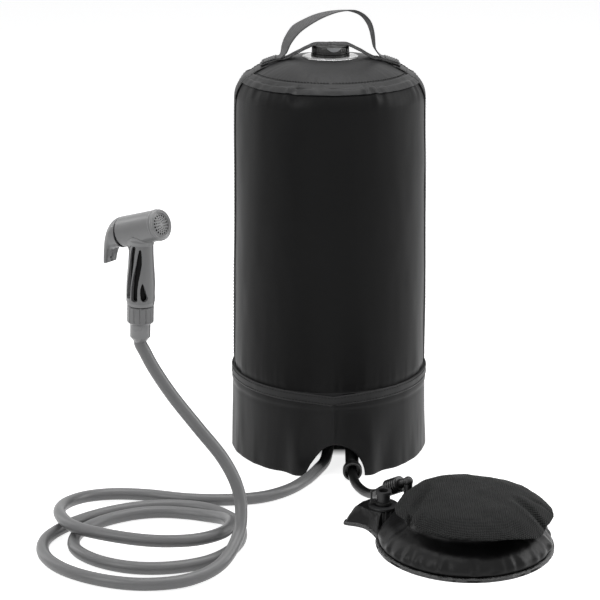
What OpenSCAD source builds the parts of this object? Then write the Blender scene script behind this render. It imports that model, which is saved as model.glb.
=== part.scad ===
// Portable camping shower: a standing water bag with a spray handset on a long hose
// and a foot pump on a short air hose. Millimetres, +Z up, front towards -Y.
// The origin lies on the floor, on the axis of the bag.

/* [Bag] */
// Outer radius of the bag at its lower seam
bag_foot_r = 106.8; // [103:0.1:112]
// Outer radius of the bag where its shoulder starts
bag_head_r = 102; // [99:0.1:106]
// Height of the seam between the bag and its skirt
seam_z = 95; // [88:0.5:104]
// Height at which the shoulder starts to turn in
shoulder_z = 397; // [340:1:450]
// Radius of the rounded shoulder
shoulder_bend_r = 28; // [25:0.5:31]
// Radius of the crowned top
crown_r = 116; // [110:0.5:120]
// Thickness of the coated bag fabric
fabric_t = 1.5; // [1:0.1:2]
// Thickness of a welded strip or band of fabric
strip_t = 0.8; // [0.5:0.1:1.2]
// Height of the flat part of the bag's floor
floor_z = 77; // [72:0.5:82]
// Radius of the flat part of the bag's floor
floor_flat_r = 82; // [70:1:90]
// Outer radius of the skirt where it stands on the floor
skirt_foot_r = 109; // [108.6:0.1:112]
// Width of the arch in the skirt, at the floor
arch_w = 66; // [60:1:80]
// Height of the arch in the skirt
arch_h = 38; // [34:0.5:50]
// Sideways place of the arch
arch_x = 3.5; // [2:0.5:6]
// Height of the hem band round the lower seam
hem_h = 10; // [6:0.5:14]
// Width of each side strip, as an angle round the bag
strip_angle = 28; // [20:1:36]

/* [Filler] */
// Outer radius of the welded filler flange
flange_r = 29.5; // [27:0.5:32]
// Thickness of the filler flange
flange_t = 1.2; // [0.8:0.1:2]
// Bore radius of the filler neck
neck_bore_r = 13.5; // [10:0.5:14]
// Outer radius of the filler neck
neck_r = 16.5; // [16:0.1:17]
// Height of the neck above its collar
neck_h = 4.2; // [3.5:0.1:5]
// Radius of the notched collar under the cap
collar_r = 20.6; // [20:0.1:24]
// Height of the notched collar
collar_h = 2.6; // [2:0.1:4]
// Number of notches round the collar
collar_notches = 12; // [8:1:18]
// Outer radius of the filler cap
cap_r = 20; // [20:0.1:23]
// Height of the filler cap
cap_h = 7.9; // [7.5:0.1:9]
// Rise of the cap in one turn
cap_lead = 2.4; // [1.5:0.1:3]

/* [Straps] */
// Width of the webbing
webbing_w = 20; // [14:0.5:24]
// Thickness of the webbing
webbing_t = 1.5; // [1:0.1:2]
// Height of the carry loop's top above the crown of the bag
loop_rise = 50; // [40:1:70]
// Half the width of the carry loop at its anchors
loop_half_w = 53; // [50:0.5:54]

/* [Bag fittings] */
// Radius of the barrel of the water outlet
outlet_r = 8.8; // [7:0.1:10]
// Sideways place of the water outlet
outlet_x = 2; // [0:0.5:4]
// Distance of the water outlet in front of the bag's axis
outlet_y = -28; // [-30:0.5:-26]
// Radius of the barrel of the air inlet
inlet_r = 7.3; // [6.5:0.1:8]
// Sideways place of the air inlet
inlet_x = 24; // [22:0.5:25]
// Distance of the air inlet in front of the bag's axis
inlet_y = -58; // [-62:0.5:-56]
// Radius of the air elbow's cup, which takes the air hose
cup_r = 10.4; // [9:0.1:10.4]
// Lift of each check valve disc
disc_lift = 2; // [1:0.1:2.5]

/* [Hoses] */
// Outer diameter of the shower hose
hose_d = 12.5; // [10:0.5:12.5]
// Outer diameter of the air hose
air_hose_d = 10; // [8:0.5:10]

/* [Handset] */
// Radius of the spray head
head_r = 15; // [14:0.1:17]
// Length of the head in front of the handle's axis
head_front = 24; // [22:0.5:30]
// Tilt of the spray head against the handle
head_tilt = 20; // [10:0.5:25]
// Height of the head's axis above the hose
head_z = 114.5; // [112:0.5:120]
// Lower radius of the grip
grip_foot_r = 13.9; // [13.4:0.1:15]
// Upper radius of the grip
grip_head_r = 11.9; // [11.6:0.1:13.4]
// Inner radius of the grip shell
grip_bore_r = 10.2; // [9:0.1:10.6]
// Width of the long slots in the grip
slot_w = 3.6; // [2.5:0.1:4.5]
// Outer radius of the union nut under the grip
nut_r = 13; // [12.8:0.1:15]
// Number of grip grooves round the union nut
nut_grooves = 14; // [8:1:20]
// Width of the lever
lever_w = 16.4; // [14:0.2:19]
// Wall thickness of the lever
lever_wall = 2.4; // [1.8:0.1:2.6]
// Radius of the lever's pivot pin
pin_r = 1.5; // [1.2:0.05:1.8]
// Number of jet holes in the outer ring of the spray face
jets = 20; // [12:1:24]
// Radius of a jet hole
jet_r = 0.55; // [0.3:0.05:0.6]

/* [Foot pump] */
// Radius of the round base of the pump
pump_r = 89; // [87:0.5:94]
// Radius of the base's lobe that carries the valve
lobe_r = 36; // [33:0.5:38]
// Height of the lobe
lobe_h = 20; // [16:0.5:22]
// Radius of the pressing plate under the pump's cover
plate_r = 60; // [50:0.5:62]
// Height of the pressing plate's underside
plate_z = 38; // [36:0.5:44]
// Radius of the pump's cover
cover_r = 80; // [76:0.5:82]
// Height of the cover's crown above the plate
cover_rise = 11; // [8:0.5:16]
// Travel of the pump when it is stepped on
pump_travel = 18; // [10:0.5:18]
// Radius of the ribbed nut on the air hose
rib_nut_r = 8.5; // [8:0.1:10]
// Number of ribs on that nut
rib_count = 6; // [3:1:7]
// Radius of the intake valve's barrel
valve_r = 7; // [6.5:0.1:8.5]

/* [Fits] */
// Gap between parts that are sewn, welded or clamped together
lap = 0.2; // [0.1:0.05:0.3]
// Radial clearance of a running fit
run = 0.08; // [0.02:0.01:0.1]
// Clearance round loose moving parts
slack = 0.3; // [0.2:0.05:0.5]

/* [Hidden] */

$fn = 96;

// Turn of the outline where the shoulder gives way to the crowned top, and at the crown's end
bend_end = 57;
crown_end = 87;
// Step of the outline's turn between two rings of facets
turn_step = 3;

// Radius of the straight wall at a height
function wall_r(z) = bag_foot_r + (bag_head_r - bag_foot_r) * (z - seam_z) / (shoulder_z - seam_z);

// Point of the bag's outline, turned in by t degrees and raised d above the outer surface
function bend_point(t) = [
    bag_head_r - shoulder_bend_r * (1 - cos(t)),
    shoulder_z + shoulder_bend_r * sin(t)
];
function crown_point(t) = bend_point(bend_end) + crown_r * [
    cos(t) - cos(bend_end),
    sin(t) - sin(bend_end)
];
function skin(t, d) = (t <= bend_end ? bend_point(t) : crown_point(t)) + d * [cos(t), sin(t)];
function skin_arc(from, to, d) = [for (t = [from : turn_step : to]) skin(t, d)];

crown_top = crown_point(crown_end)[1];
crown_flat_r = crown_point(crown_end)[0];

// A ring of fabric that follows the bag's outline between two turns
module skin_ring(from, to, d_in, d_out, angle = 360) {
    rotate([0, 0, -angle / 2])
        rotate_extrude(angle = angle)
            polygon(concat(skin_arc(from, to, d_out), [for (t = [to : -turn_step : from]) skin(t, d_in)]));
}

// A tube between two heights
module tube(r_out, r_in, z0, z1) {
    translate([0, 0, z0])
        difference() {
            cylinder(r = r_out, h = z1 - z0);
            translate([0, 0, -1])
                cylinder(r = r_in, h = z1 - z0 + 2);
        }
}

module rod(r, z0, z1) {
    translate([0, 0, z0])
        cylinder(r = r, h = z1 - z0);
}

// A rod from point p to point q
module rod_between(p, q, r) {
    v = q - p;
    translate(p)
        rotate([0, acos(v[2] / norm(v)), atan2(v[1], v[0])])
            cylinder(r = r, h = norm(v));
}

// A hexagonal nut with a round bore, standing on z0
module hex_nut(across, bore_r, z0, h) {
    translate([0, 0, z0])
        difference() {
            cylinder(r = across / 2 / cos(30), h = h, $fn = 6);
            translate([0, 0, -1])
                cylinder(r = bore_r, h = h + 2);
        }
}

// Smooth curve through a list of points, with n steps between neighbours
function curve_at(a, b, c, d, t) =
    0.5 * (2 * b + (c - a) * t + (2 * a - 5 * b + 4 * c - d) * t * t + (3 * b - a - 3 * c + d) * t * t * t);
function curve(p, n) = [
    for (i = [0 : len(p) - 2])
        for (k = [0 : n - 1])
            curve_at(p[max(i - 1, 0)], p[i], p[i + 1], p[min(i + 2, len(p) - 1)], k / n),
    p[len(p) - 1]
];

// A ribbon of webbing whose centre line runs in the XZ plane
function unit(v) = v / norm(v);
function side_of(p, i) =
    let (v = unit(p[min(i + 1, len(p) - 1)] - p[max(i - 1, 0)])) [-v[1], v[0]];
module ribbon(path, w, t) {
    p = curve(path, 4);
    edge = [for (i = [0 : len(p) - 1]) p[i] + side_of(p, i) * t / 2];
    back = [for (i = [len(p) - 1 : -1 : 0]) p[i] - side_of(p, i) * t / 2];
    rotate([90, 0, 0])
        translate([0, 0, -w / 2])
            linear_extrude(w)
                polygon(concat(edge, back));
}

// A hose of round section swept through its route's points, with the section carried along.
// Its two ends lie square to the fittings they meet: start and end are their directions.
hose_sides = 8;
function tangents(p, start, end) = [
    for (i = [0 : len(p) - 1])
        i == 0 ? start : i == len(p) - 1 ? end : unit(p[i + 1] - p[i - 1])
];
function carried(n, t) = unit(n - t * (n * t));
function normals(t) = [
    for (i = 0, n = carried([1, 0, 0], t[0]); i < len(t);
         i = i + 1, n = i < len(t) ? carried(n, t[i]) : n) n
];
module hose(p, d, start, end) {
    t = tangents(p, start, end);
    n = normals(t);
    ring = [
        for (i = [0 : len(p) - 1])
            for (k = [0 : hose_sides - 1])
                let (a = 360 * k / hose_sides)
                    p[i] + d / 2 * (cos(a) * n[i] + sin(a) * cross(t[i], n[i]))
    ];
    side = [
        for (i = [0 : len(p) - 2])
            for (k = [0 : hose_sides - 1])
                let (a = i * hose_sides + k, b = i * hose_sides + (k + 1) % hose_sides)
                    [a, a + hose_sides, b + hose_sides, b]
    ];
    last = (len(p) - 1) * hose_sides;
    polyhedron(
        points = ring,
        faces = concat(
            side,
            [[for (k = [0 : hose_sides - 1]) k]],
            [[for (k = [hose_sides - 1 : -1 : 0]) last + k]]
        ),
        convexity = 10
    );
}

// Bag

wall_foot_z = seam_z - hem_h + 0.5;
rim_r = bag_foot_r - fabric_t - lap;
rim_foot_z = floor_z + 9;
rim_top_z = seam_z - 1;
floor_under_z = floor_z - fabric_t;

module bag_wall() {
    color([0.13, 0.13, 0.14])
        rotate_extrude()
            polygon(concat(
                [[wall_r(wall_foot_z), wall_foot_z]],
                skin_arc(0, bend_end, 0),
                [for (t = [bend_end : -turn_step : 0]) skin(t, -fabric_t)],
                [[wall_r(wall_foot_z) - fabric_t, wall_foot_z]]
            ));
}

panel_hole_r = neck_r + lap;
module top_panel() {
    color([0.16, 0.16, 0.17])
        rotate_extrude()
            polygon(concat(
                skin_arc(bend_end, crown_end, 0),
                [[panel_hole_r, crown_top], [panel_hole_r, crown_top - fabric_t]],
                [for (t = [crown_end : -turn_step : bend_end]) skin(t, -fabric_t)]
            ));
}

band_from = 39;
band_to = 60;
module shoulder_band() {
    color([0.15, 0.15, 0.16])
        for (side = [-90, 90])
            rotate([0, 0, side])
                skin_ring(band_from, band_to, lap, lap + strip_t, 179 - strip_angle);
}

strip_to = 69;
module side_strips() {
    foot = seam_z + 1;
    color([0.12, 0.12, 0.13])
        for (side = [0, 180])
            rotate([0, 0, side - strip_angle / 2])
                rotate_extrude(angle = strip_angle)
                    polygon(concat(
                        [[wall_r(foot) + lap + strip_t, foot]],
                        skin_arc(0, strip_to, lap + strip_t),
                        [for (t = [strip_to : -turn_step : 0]) skin(t, lap)],
                        [[wall_r(foot) + lap, foot]]
                    ));
}

module fitting_hole(x, y, r) {
    translate([x, y, floor_under_z - 1])
        cylinder(r = r + lap, h = fabric_t + 2);
}

module bag_floor() {
    color([0.1, 0.1, 0.11])
        difference() {
            rotate_extrude()
                polygon([
                    [0, floor_under_z], [floor_flat_r, floor_under_z], [rim_r, rim_foot_z - fabric_t],
                    [rim_r, rim_top_z], [rim_r - fabric_t, rim_top_z], [rim_r - fabric_t, rim_foot_z],
                    [floor_flat_r, floor_z], [0, floor_z]
                ]);
            fitting_hole(outlet_x, outlet_y, outlet_r);
            fitting_hole(inlet_x, inlet_y, inlet_r);
        }
}

skirt_t = fabric_t;
skirt_head_r = bag_foot_r + lap + 0.1 + skirt_t;
module base_skirt() {
    arch = [for (a = [0 : 7.5 : 180]) [arch_w / 2 * cos(a), arch_h * sin(a)]];
    color([0.14, 0.14, 0.15])
        difference() {
            rotate_extrude()
                polygon([
                    [skirt_foot_r - skirt_t, 0], [skirt_foot_r, 0],
                    [skirt_head_r, seam_z], [skirt_head_r - skirt_t, seam_z]
                ]);
            translate([arch_x, 0, 0])
                rotate([90, 0, 0])
                    linear_extrude(skirt_foot_r + 5)
                        polygon(concat(arch, [[-arch_w / 2, -1], [arch_w / 2, -1]]));
        }
}

module skirt_hem() {
    hem_in_r = max(skirt_head_r, skirt_foot_r) + lap / 2;
    color([0.15, 0.15, 0.16])
        tube(hem_in_r + strip_t, hem_in_r, seam_z - hem_h, seam_z + 0.5);
}

// Straps

anchor_t = 1.8;
anchor_from = 63;
anchor_to = 72;
anchor_under = strip_t + 2 * lap;
anchor_angle = 2 * asin(webbing_w / 2 / skin(anchor_from, 0)[0]);

module handle_anchors() {
    color([0.32, 0.32, 0.33])
        for (side = [0, 180])
            rotate([0, 0, side])
                skin_ring(anchor_from, anchor_to, anchor_under, anchor_under + anchor_t, anchor_angle);
}

function flip(p) = [-p[0], p[1]];
function reversed(list) = [for (i = [len(list) - 1 : -1 : 0]) list[i]];

module carry_handle() {
    d = anchor_under + anchor_t + lap + webbing_t / 2;
    tail = [for (t = [anchor_from + turn_step : turn_step : anchor_to + turn_step]) skin(t, d)];
    loop = [
        [-0.90, 0.33], [-0.62, 0.75], [-0.20, 0.95], [0.32, 1], [0.63, 0.86], [0.82, 0.57], [0.94, 0.27]
    ];
    color([0.4, 0.4, 0.41])
        ribbon(
            concat(
                [for (p = tail) flip(p)],
                [for (p = loop) [p[0] * loop_half_w, crown_top + p[1] * loop_rise]],
                reversed(tail)
            ),
            webbing_w, webbing_t
        );
}

flange_z = crown_top + lap;
collar_z = flange_z + flange_t + lap;
neck_top = collar_z + collar_h + neck_h;
cap_z = collar_z + collar_h + lap;
cap_top = cap_z + cap_h;
keeper_from = 78;
keeper_lift = lap + 0.15;
module keeper_strap() {
    tail = [for (t = [keeper_from, keeper_from + turn_step]) skin(t, keeper_lift + webbing_t / 2)];
    over = cap_top + lap + webbing_t / 2 + 0.1;
    half = [
        [-cap_r - 12, cap_top - 4],
        [-cap_r - 3, over - 0.5],
        [-cap_r + 5, over],
        [0, over]
    ];
    color([0.36, 0.36, 0.37])
        ribbon(
            concat([for (p = tail) flip(p)], half, [for (i = [2 : -1 : 0]) flip(half[i])], reversed(tail)),
            webbing_w, webbing_t
        );
}

// Filler

module filler_flange() {
    color([0.72, 0.73, 0.74])
        tube(flange_r, neck_r + lap, flange_z, flange_z + flange_t);
}

lip_t = 2;
module filler_neck() {
    lip_top = crown_top - fabric_t - lap;
    color([0.06, 0.06, 0.06])
        difference() {
            union() {
                rod(neck_r, lip_top - lip_t, neck_top);
                rod(neck_r + 5, lip_top - lip_t, lip_top);
                rod(collar_r, collar_z, collar_z + collar_h);
            }
            translate([0, 0, lip_top - lip_t - 1])
                cylinder(r = neck_bore_r, h = neck_top - lip_top + lip_t + 2);
            for (i = [0 : collar_notches - 1])
                rotate([0, 0, 360 * (i + 0.5) / collar_notches])
                    translate([collar_r + 0.4, 0, collar_z - 1])
                        cylinder(r = 1.6, h = collar_h + 2, $fn = 24);
        }
}

cap_bore_r = neck_r + 1.2;
cap_roof = 1.8;
groove_r = cap_r - 1.1;
groove_z = cap_z + 0.8;
groove_h = 1.8;
module filler_cap() {
    color([0.03, 0.03, 0.03])
        rotate_extrude()
            polygon([
                [cap_bore_r, cap_z], [cap_r, cap_z], [cap_r, groove_z], [groove_r, groove_z],
                [groove_r, groove_z + groove_h], [cap_r, groove_z + groove_h], [cap_r, cap_top - 1.2],
                [cap_r - 1.2, cap_top], [0, cap_top], [0, cap_top - cap_roof], [cap_bore_r, cap_top - cap_roof]
            ]);
}

tab_h = 4.2;
tab_x = 3.6;
tab_half_w = 7.8;
tab_in_r = cap_r + slack;
tab_t = 0.9;
module cap_leash_ring() {
    color([0.05, 0.05, 0.05]) {
        tube(cap_r + 0.1, groove_r + run, groove_z + lap, groove_z + groove_h - lap);
        rotate([0, 0, -92])
            rotate_extrude(angle = 24)
                polygon([
                    [groove_r + 0.5, groove_z + lap], [tab_in_r + tab_t, groove_z + lap],
                    [tab_in_r + tab_t, cap_top - tab_h - 0.1], [tab_in_r, cap_top - tab_h - 0.1],
                    [tab_in_r, groove_z + groove_h - lap], [groove_r + 0.5, groove_z + groove_h - lap]
                ]);
    }
}

// Lens-shaped pull tab that stands in front of the cap
module cap_tab() {
    bow_r = (tab_half_w * tab_half_w + tab_h * tab_h) / (2 * tab_h);
    color([0.75, 0.75, 0.76])
        intersection() {
            tube(tab_in_r + tab_t, tab_in_r, cap_top - tab_h, cap_top - 0.2);
            translate([tab_x, 0, cap_top - tab_h + bow_r])
                rotate([90, 0, 0])
                    cylinder(r = bow_r, h = cap_r + 5);
        }
}

module cap_seal() {
    color([0.2, 0.2, 0.2])
        tube(neck_r + 0.6, neck_bore_r - 3, neck_top + 0.15, cap_top - cap_roof - 0.1);
}

// Fittings in the bag's floor

seal_t = 1.2;
fit_under_z = floor_under_z - lap;
fit_nut_h = 5;
hose_top_z = 58;
// Lower ends of the two barrels under the floor, and the height of the air elbow's turn
outlet_foot_z = floor_z - 11;
inlet_foot_z = floor_z - 13;
elbow_z = 40;

// A bulkhead fitting with an inner flange and a threaded barrel, on its own axis
module bulkhead(r, flange, foot_z) {
    rod(flange, floor_z + lap, floor_z + lap + 2.2);
    rod(r, foot_z, floor_z + lap + 1);
}

module water_outlet() {
    color([0.08, 0.08, 0.08])
        translate([outlet_x, outlet_y, 0])
            difference() {
                union() {
                    bulkhead(outlet_r, outlet_r + 8, outlet_foot_z);
                    rod(hose_d / 2, hose_top_z, outlet_foot_z + 1);
                }
                translate([0, 0, hose_top_z - 1])
                    cylinder(r = 4, h = 40);
            }
}

module outlet_seal() {
    color([0.25, 0.25, 0.25])
        translate([outlet_x, outlet_y, 0])
            tube(outlet_r + 4.5, outlet_r + lap, fit_under_z - seal_t, fit_under_z);
}

module outlet_nut() {
    color([0.07, 0.07, 0.07])
        translate([outlet_x, outlet_y, 0])
            hex_nut(2 * outlet_r + 10, outlet_r + lap / 2, fit_under_z - seal_t - lap - fit_nut_h, fit_nut_h);
}

module hose_clamp() {
    color([0.6, 0.6, 0.62])
        translate([outlet_x, outlet_y, 0]) {
            tube(hose_d / 2 + 1.1, hose_d / 2 + 0.1, hose_top_z + 1, hose_top_z + 6);
            translate([hose_d / 2 + 0.8, -2, hose_top_z + 1])
                cube([4, 4, 5]);
        }
}

valve_seat_z = floor_z - 7;
valve_seat_r = 3;
disc_r = 4.9;
disc_t = 1.5;
module air_inlet() {
    color([0.07, 0.07, 0.07])
        translate([inlet_x, inlet_y, 0]) {
            difference() {
                bulkhead(inlet_r, inlet_r + 7, inlet_foot_z);
                translate([0, 0, 60])
                    cylinder(r = valve_seat_r, h = 30);
                translate([0, 0, valve_seat_z])
                    cylinder(r = disc_r + slack, h = 30);
            }
            translate([-disc_r - 1, -0.8, floor_z + lap + 1])
                cube([2 * disc_r + 2, 1.6, 1.2]);
        }
}

module check_disc() {
    color([0.3, 0.12, 0.1])
        translate([inlet_x, inlet_y, 0])
            rod(disc_r, valve_seat_z + 0.1, valve_seat_z + 0.1 + disc_t);
}

module inlet_seal() {
    color([0.25, 0.25, 0.25])
        translate([inlet_x, inlet_y, 0])
            tube(inlet_r + 4, inlet_r + lap, fit_under_z - seal_t, fit_under_z);
}

module inlet_nut() {
    color([0.07, 0.07, 0.07])
        translate([inlet_x, inlet_y, 0])
            hex_nut(2 * inlet_r + 9, inlet_r + lap / 2, fit_under_z - seal_t - lap - fit_nut_h, fit_nut_h);
}

cup_z = cup_r + 0.2;
cup_foot_y = -111;
cup_mouth_y = -122;
cup_floor_y = -113;
module air_elbow() {
    r = inlet_r;
    top = [inlet_x, inlet_y, inlet_foot_z - lap];
    corner = [inlet_x, inlet_y, elbow_z];
    heel = [inlet_x, -104, cup_z];
    color([0.05, 0.05, 0.05]) {
        rod_between(corner, top, r + 0.6);
        translate(corner)
            sphere(r = r + 1);
        rod_between(corner, heel, r);
        translate(heel)
            sphere(r = r + 0.5);
        rod_between(heel, [inlet_x, cup_foot_y - 0.5, cup_z], r);
        translate([inlet_x, cup_foot_y, cup_z])
            rotate([90, 0, 0])
                difference() {
                    rotate_extrude()
                        polygon([
                            [0, 0], [r + 1, 0], [cup_r, 3], [cup_r, cup_foot_y - cup_mouth_y - 0.8],
                            [cup_r - 0.8, cup_foot_y - cup_mouth_y], [0, cup_foot_y - cup_mouth_y]
                        ]);
                    translate([0, 0, cup_foot_y - cup_floor_y])
                        cylinder(r = cup_r - 2.2, h = 20);
                }
    }
}

// Handset, built round its own axes: the hose enters at the origin, +X is the spray side

handset_place = [-188.5, -250, 203];
handset_yaw = -35;
handset_lean = 2.9;
module in_handset() {
    translate(handset_place)
        rotate([0, handset_lean, handset_yaw])
            children();
}

// The head's own frame: +X along the spray
module in_head() {
    translate([0, 0, head_z])
        rotate([0, -head_tilt, 0])
            children();
}

// Turns a shape that was made round Z so that it lies along the spray
module along_spray() {
    rotate([0, 90, 0])
        children();
}

sleeve_r = 10;
nut_foot_z = 19.2;
nut_top_z = 37.2;
nut_lip = 2.2;
tail_flange_z = nut_foot_z + nut_lip + lap;
washer_z = tail_flange_z + 2 + lap;
stub_z = washer_z + 1.4 + lap;
stub_r = nut_r - 1.6;
collar_ring_z = 38.4;
grip_z = 42;
grip_top_z = 103;
neck_z = grip_top_z + lap;

module hose_sleeve() {
    color([0.45, 0.45, 0.46])
        in_handset()
            difference() {
                rotate_extrude()
                    polygon([
                        [0, 0], [hose_d / 2, 0], [sleeve_r - 0.6, 4.4], [sleeve_r, 5.2], [sleeve_r, tail_flange_z],
                        [stub_r - 0.2, tail_flange_z], [stub_r - 0.2, tail_flange_z + 2], [0, tail_flange_z + 2]
                    ]);
                translate([0, 0, 6])
                    cylinder(r = 4, h = 30);
            }
}

module hose_nut() {
    groove_r = 1;
    color([0.42, 0.42, 0.43])
        in_handset()
            difference() {
                rotate_extrude()
                    polygon([
                        [sleeve_r + run, nut_foot_z], [nut_r - 1.6, nut_foot_z], [nut_r, nut_foot_z + 1.6],
                        [nut_r, nut_top_z - 0.6], [nut_r - 0.6, nut_top_z], [stub_r + run, nut_top_z],
                        [stub_r + run, nut_foot_z + nut_lip], [sleeve_r + run, nut_foot_z + nut_lip]
                    ]);
                for (i = [0 : nut_grooves - 1])
                    rotate([0, 0, 360 * i / nut_grooves])
                        translate([nut_r + groove_r * 0.35, 0, nut_foot_z + 3])
                            cylinder(r = groove_r, h = 30, $fn = 16);
            }
}

module nut_washer() {
    color([0.1, 0.1, 0.1])
        in_handset()
            tube(stub_r - 0.6, 5, washer_z, washer_z + 1.4);
}

// Room for the head where it sits down in the top of the grip
module head_saddle() {
    in_head()
        translate([-50, 0, 0])
            along_spray()
                cylinder(r = head_r + lap, h = 100);
}

core_r = grip_bore_r - slack;
module grip_core() {
    color([0.04, 0.04, 0.04])
        in_handset()
            difference() {
                union() {
                    rod(stub_r, stub_z, collar_ring_z + 1);
                    rod(core_r, stub_z, grip_top_z);
                }
                translate([0, 0, stub_z - 1])
                    cylinder(r = 4, h = 60);
                head_saddle();
            }
}

module base_ring() {
    color([0.45, 0.45, 0.46])
        in_handset()
            difference() {
                tube(grip_foot_r - 0.4, core_r + lap, collar_ring_z, grip_z - lap);
                translate([0, 0, collar_ring_z - 1])
                    cylinder(r = stub_r + lap, h = 2.2);
            }
}

// Outline of the grip: full at the foot, waisted below the head
function grip_r(z) = let (u = (z - grip_z) / (grip_top_z - grip_z))
    grip_foot_r + (grip_head_r - grip_foot_r) * u + 0.5 * sin(360 * u * 0.9);

// One long slot, cut from outside to the bore; azimuth at its middle, slanted by lean
module grip_slot(azimuth, z0, z1, lean, w) {
    rotate([0, 0, azimuth])
        translate([0, 0, (z0 + z1) / 2])
            rotate([lean, 0, 0]) {
                translate([grip_bore_r - 2, -w / 2, -(z1 - z0) / 2])
                    cube([10, w, z1 - z0]);
                for (end = [-1, 1])
                    translate([grip_bore_r - 2, 0, end * (z1 - z0) / 2])
                        rotate([0, 90, 0])
                            cylinder(r = w / 2, h = 10, $fn = 24);
            }
}

module grip_shell() {
    color([0.5, 0.5, 0.51])
        in_handset()
            difference() {
                rotate_extrude()
                    polygon(concat(
                        [for (i = [0 : 12]) let (z = grip_z + (grip_top_z - grip_z) * i / 12) [grip_r(z), z]],
                        [[grip_bore_r, grip_top_z], [grip_bore_r, grip_z]]
                    ));
                for (side = [-1, 1]) {
                    grip_slot(side * 99, 49, 94, side * 6.5, slot_w);
                    grip_slot(side * 68, 47, 91, side * 6.5, slot_w);
                    grip_slot(side * 49, 46, 60, side * 3, slot_w * 0.9);
                }
                head_saddle();
            }
}

boss_from = -30;
boss_r = 12;
shoulder_s = -22;
pin_s = -25;
pin_t = 7;
stem_t = -4;
stem_r = 1.6;
stem_l = 18;
stem_travel = 4;
cup_depth = 8;
face_bore_r = head_r - 2;
module head_shell() {
    color([0.5, 0.5, 0.51])
        in_handset()
            difference() {
                union() {
                    in_head()
                        along_spray()
                            rotate_extrude()
                                polygon([
                                    [0, boss_from], [boss_r - 2, boss_from], [boss_r, boss_from + 2],
                                    [boss_r, shoulder_s], [head_r - 0.5, shoulder_s],
                                    [head_r, shoulder_s + 0.6], [head_r, head_front - 1],
                                    [head_r - 0.6, head_front], [0, head_front]
                                ]);
                    rod(grip_head_r + 1.4, neck_z, neck_z + 3);
                }
                in_head() {
                    translate([head_front - cup_depth, 0, 0])
                        along_spray()
                            cylinder(r = face_bore_r, h = 20);
                    translate([boss_from - 1, 0, stem_t])
                        along_spray()
                            cylinder(r = stem_r + run, h = 1 + stem_l + stem_travel);
                    translate([boss_from - 1, 0, stem_t])
                        along_spray()
                            cylinder(r = 4.4, h = 7);
                    translate([pin_s, 20, pin_t])
                        rotate([90, 0, 0])
                            cylinder(r = pin_r + 0.02, h = 40);
                }
            }
}

module face_ring() {
    color([0.48, 0.48, 0.49])
        in_handset()
            in_head()
                along_spray()
                    rotate_extrude()
                        polygon([
                            [face_bore_r - lap, head_front - 4], [face_bore_r - lap, head_front + lap],
                            [head_r - 0.3, head_front + lap], [head_r - 0.3, head_front + 1.4],
                            [head_r - 1.3, head_front + 2.4], [face_bore_r - 1.2, head_front + 2.4],
                            [face_bore_r - 1.8, head_front + 1.6], [face_bore_r - 1.8, head_front - 4]
                        ]);
}

face_t = 1.6;
face_dome = 1.6;
module spray_face() {
    r = face_bore_r - 2;
    dome_r = (r * r + face_dome * face_dome) / (2 * face_dome);
    rings = [[0.86, jets, 1], [0.64, jets * 0.7, 1], [0.4, jets * 0.45, 0.9], [0.15, 4, 0.9]];
    color([0.55, 0.55, 0.56])
        in_handset()
            in_head()
                translate([head_front - 1.2, 0, 0])
                    along_spray()
                        difference() {
                            union() {
                                rod(r, -2.5, 0);
                                intersection() {
                                    rod(r, -0.1, face_dome);
                                    translate([0, 0, face_dome - dome_r])
                                        sphere(r = dome_r);
                                }
                            }
                            rod(r - 1.4, -3.5, -face_t);
                            for (ring = rings)
                                for (i = [0 : round(ring[1]) - 1])
                                    rotate([0, 0, 360 * i / round(ring[1])])
                                        translate([r * ring[0], 0, -4])
                                            cylinder(r = jet_r * ring[2], h = 8, $fn = 16);
                        }
}

// Side outline of the lever in the handset's frame: a hood behind the head, then a paddle
lever_side = [
    [-19.3, 127.7], [-26, 123.5], [-31.5, 118], [-35.3, 111], [-38, 102], [-39.8, 92], [-41, 82], [-41.4, 72.6],
    [-24, 76.4], [-24, 84], [-22.4, 90.5], [-19, 97], [-13, 100], [-10, 112]
];
lever_gap_turn = 11;
module lever() {
    inner_w = lever_w - 2 * lever_wall;
    channel = [
        [-38.4, 76.4], [-38.2, 82], [-37, 92], [-35, 101], [-31.6, 108], [-20, 110], [-10, 90], [-10, 70],
        [-20, 66]
    ];
    color([0.5, 0.5, 0.51])
        in_handset()
            difference() {
                intersection() {
                    rotate([90, 0, 0])
                        translate([0, 0, -head_r])
                            linear_extrude(2 * head_r)
                                polygon(lever_side);
                    union() {
                        in_head()
                            translate([-60, 0, 0])
                                along_spray()
                                    cylinder(r = head_r, h = 60);
                        translate([-60, -lever_w / 2, 60])
                            cube([60, lever_w, 42]);
                    }
                }
                rotate([90, 0, 0])
                    translate([0, 0, -inner_w / 2])
                        linear_extrude(inner_w)
                            polygon(channel);
                in_head() {
                    translate([shoulder_s - lap, -30, -60])
                        cube([60, 60, 120]);
                    translate([pin_s, 0, pin_t])
                        rotate([0, lever_gap_turn, 0])
                            translate([-pin_s + shoulder_s - lap, -30, -60])
                                cube([60, 60, 120]);
                    translate([boss_from - 5, 0, 0])
                        along_spray()
                            cylinder(r = boss_r + 0.9, h = 60);
                    translate([pin_s, 20, pin_t])
                        rotate([90, 0, 0])
                            cylinder(r = pin_r + run, h = 40);
                }
            }
}

module lever_pin() {
    color([0.6, 0.6, 0.62])
        in_handset()
            in_head()
                translate([pin_s, 0, pin_t])
                    rotate([90, 0, 0])
                        rod(pin_r, -head_r * 0.84, head_r * 0.84);
}

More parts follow.
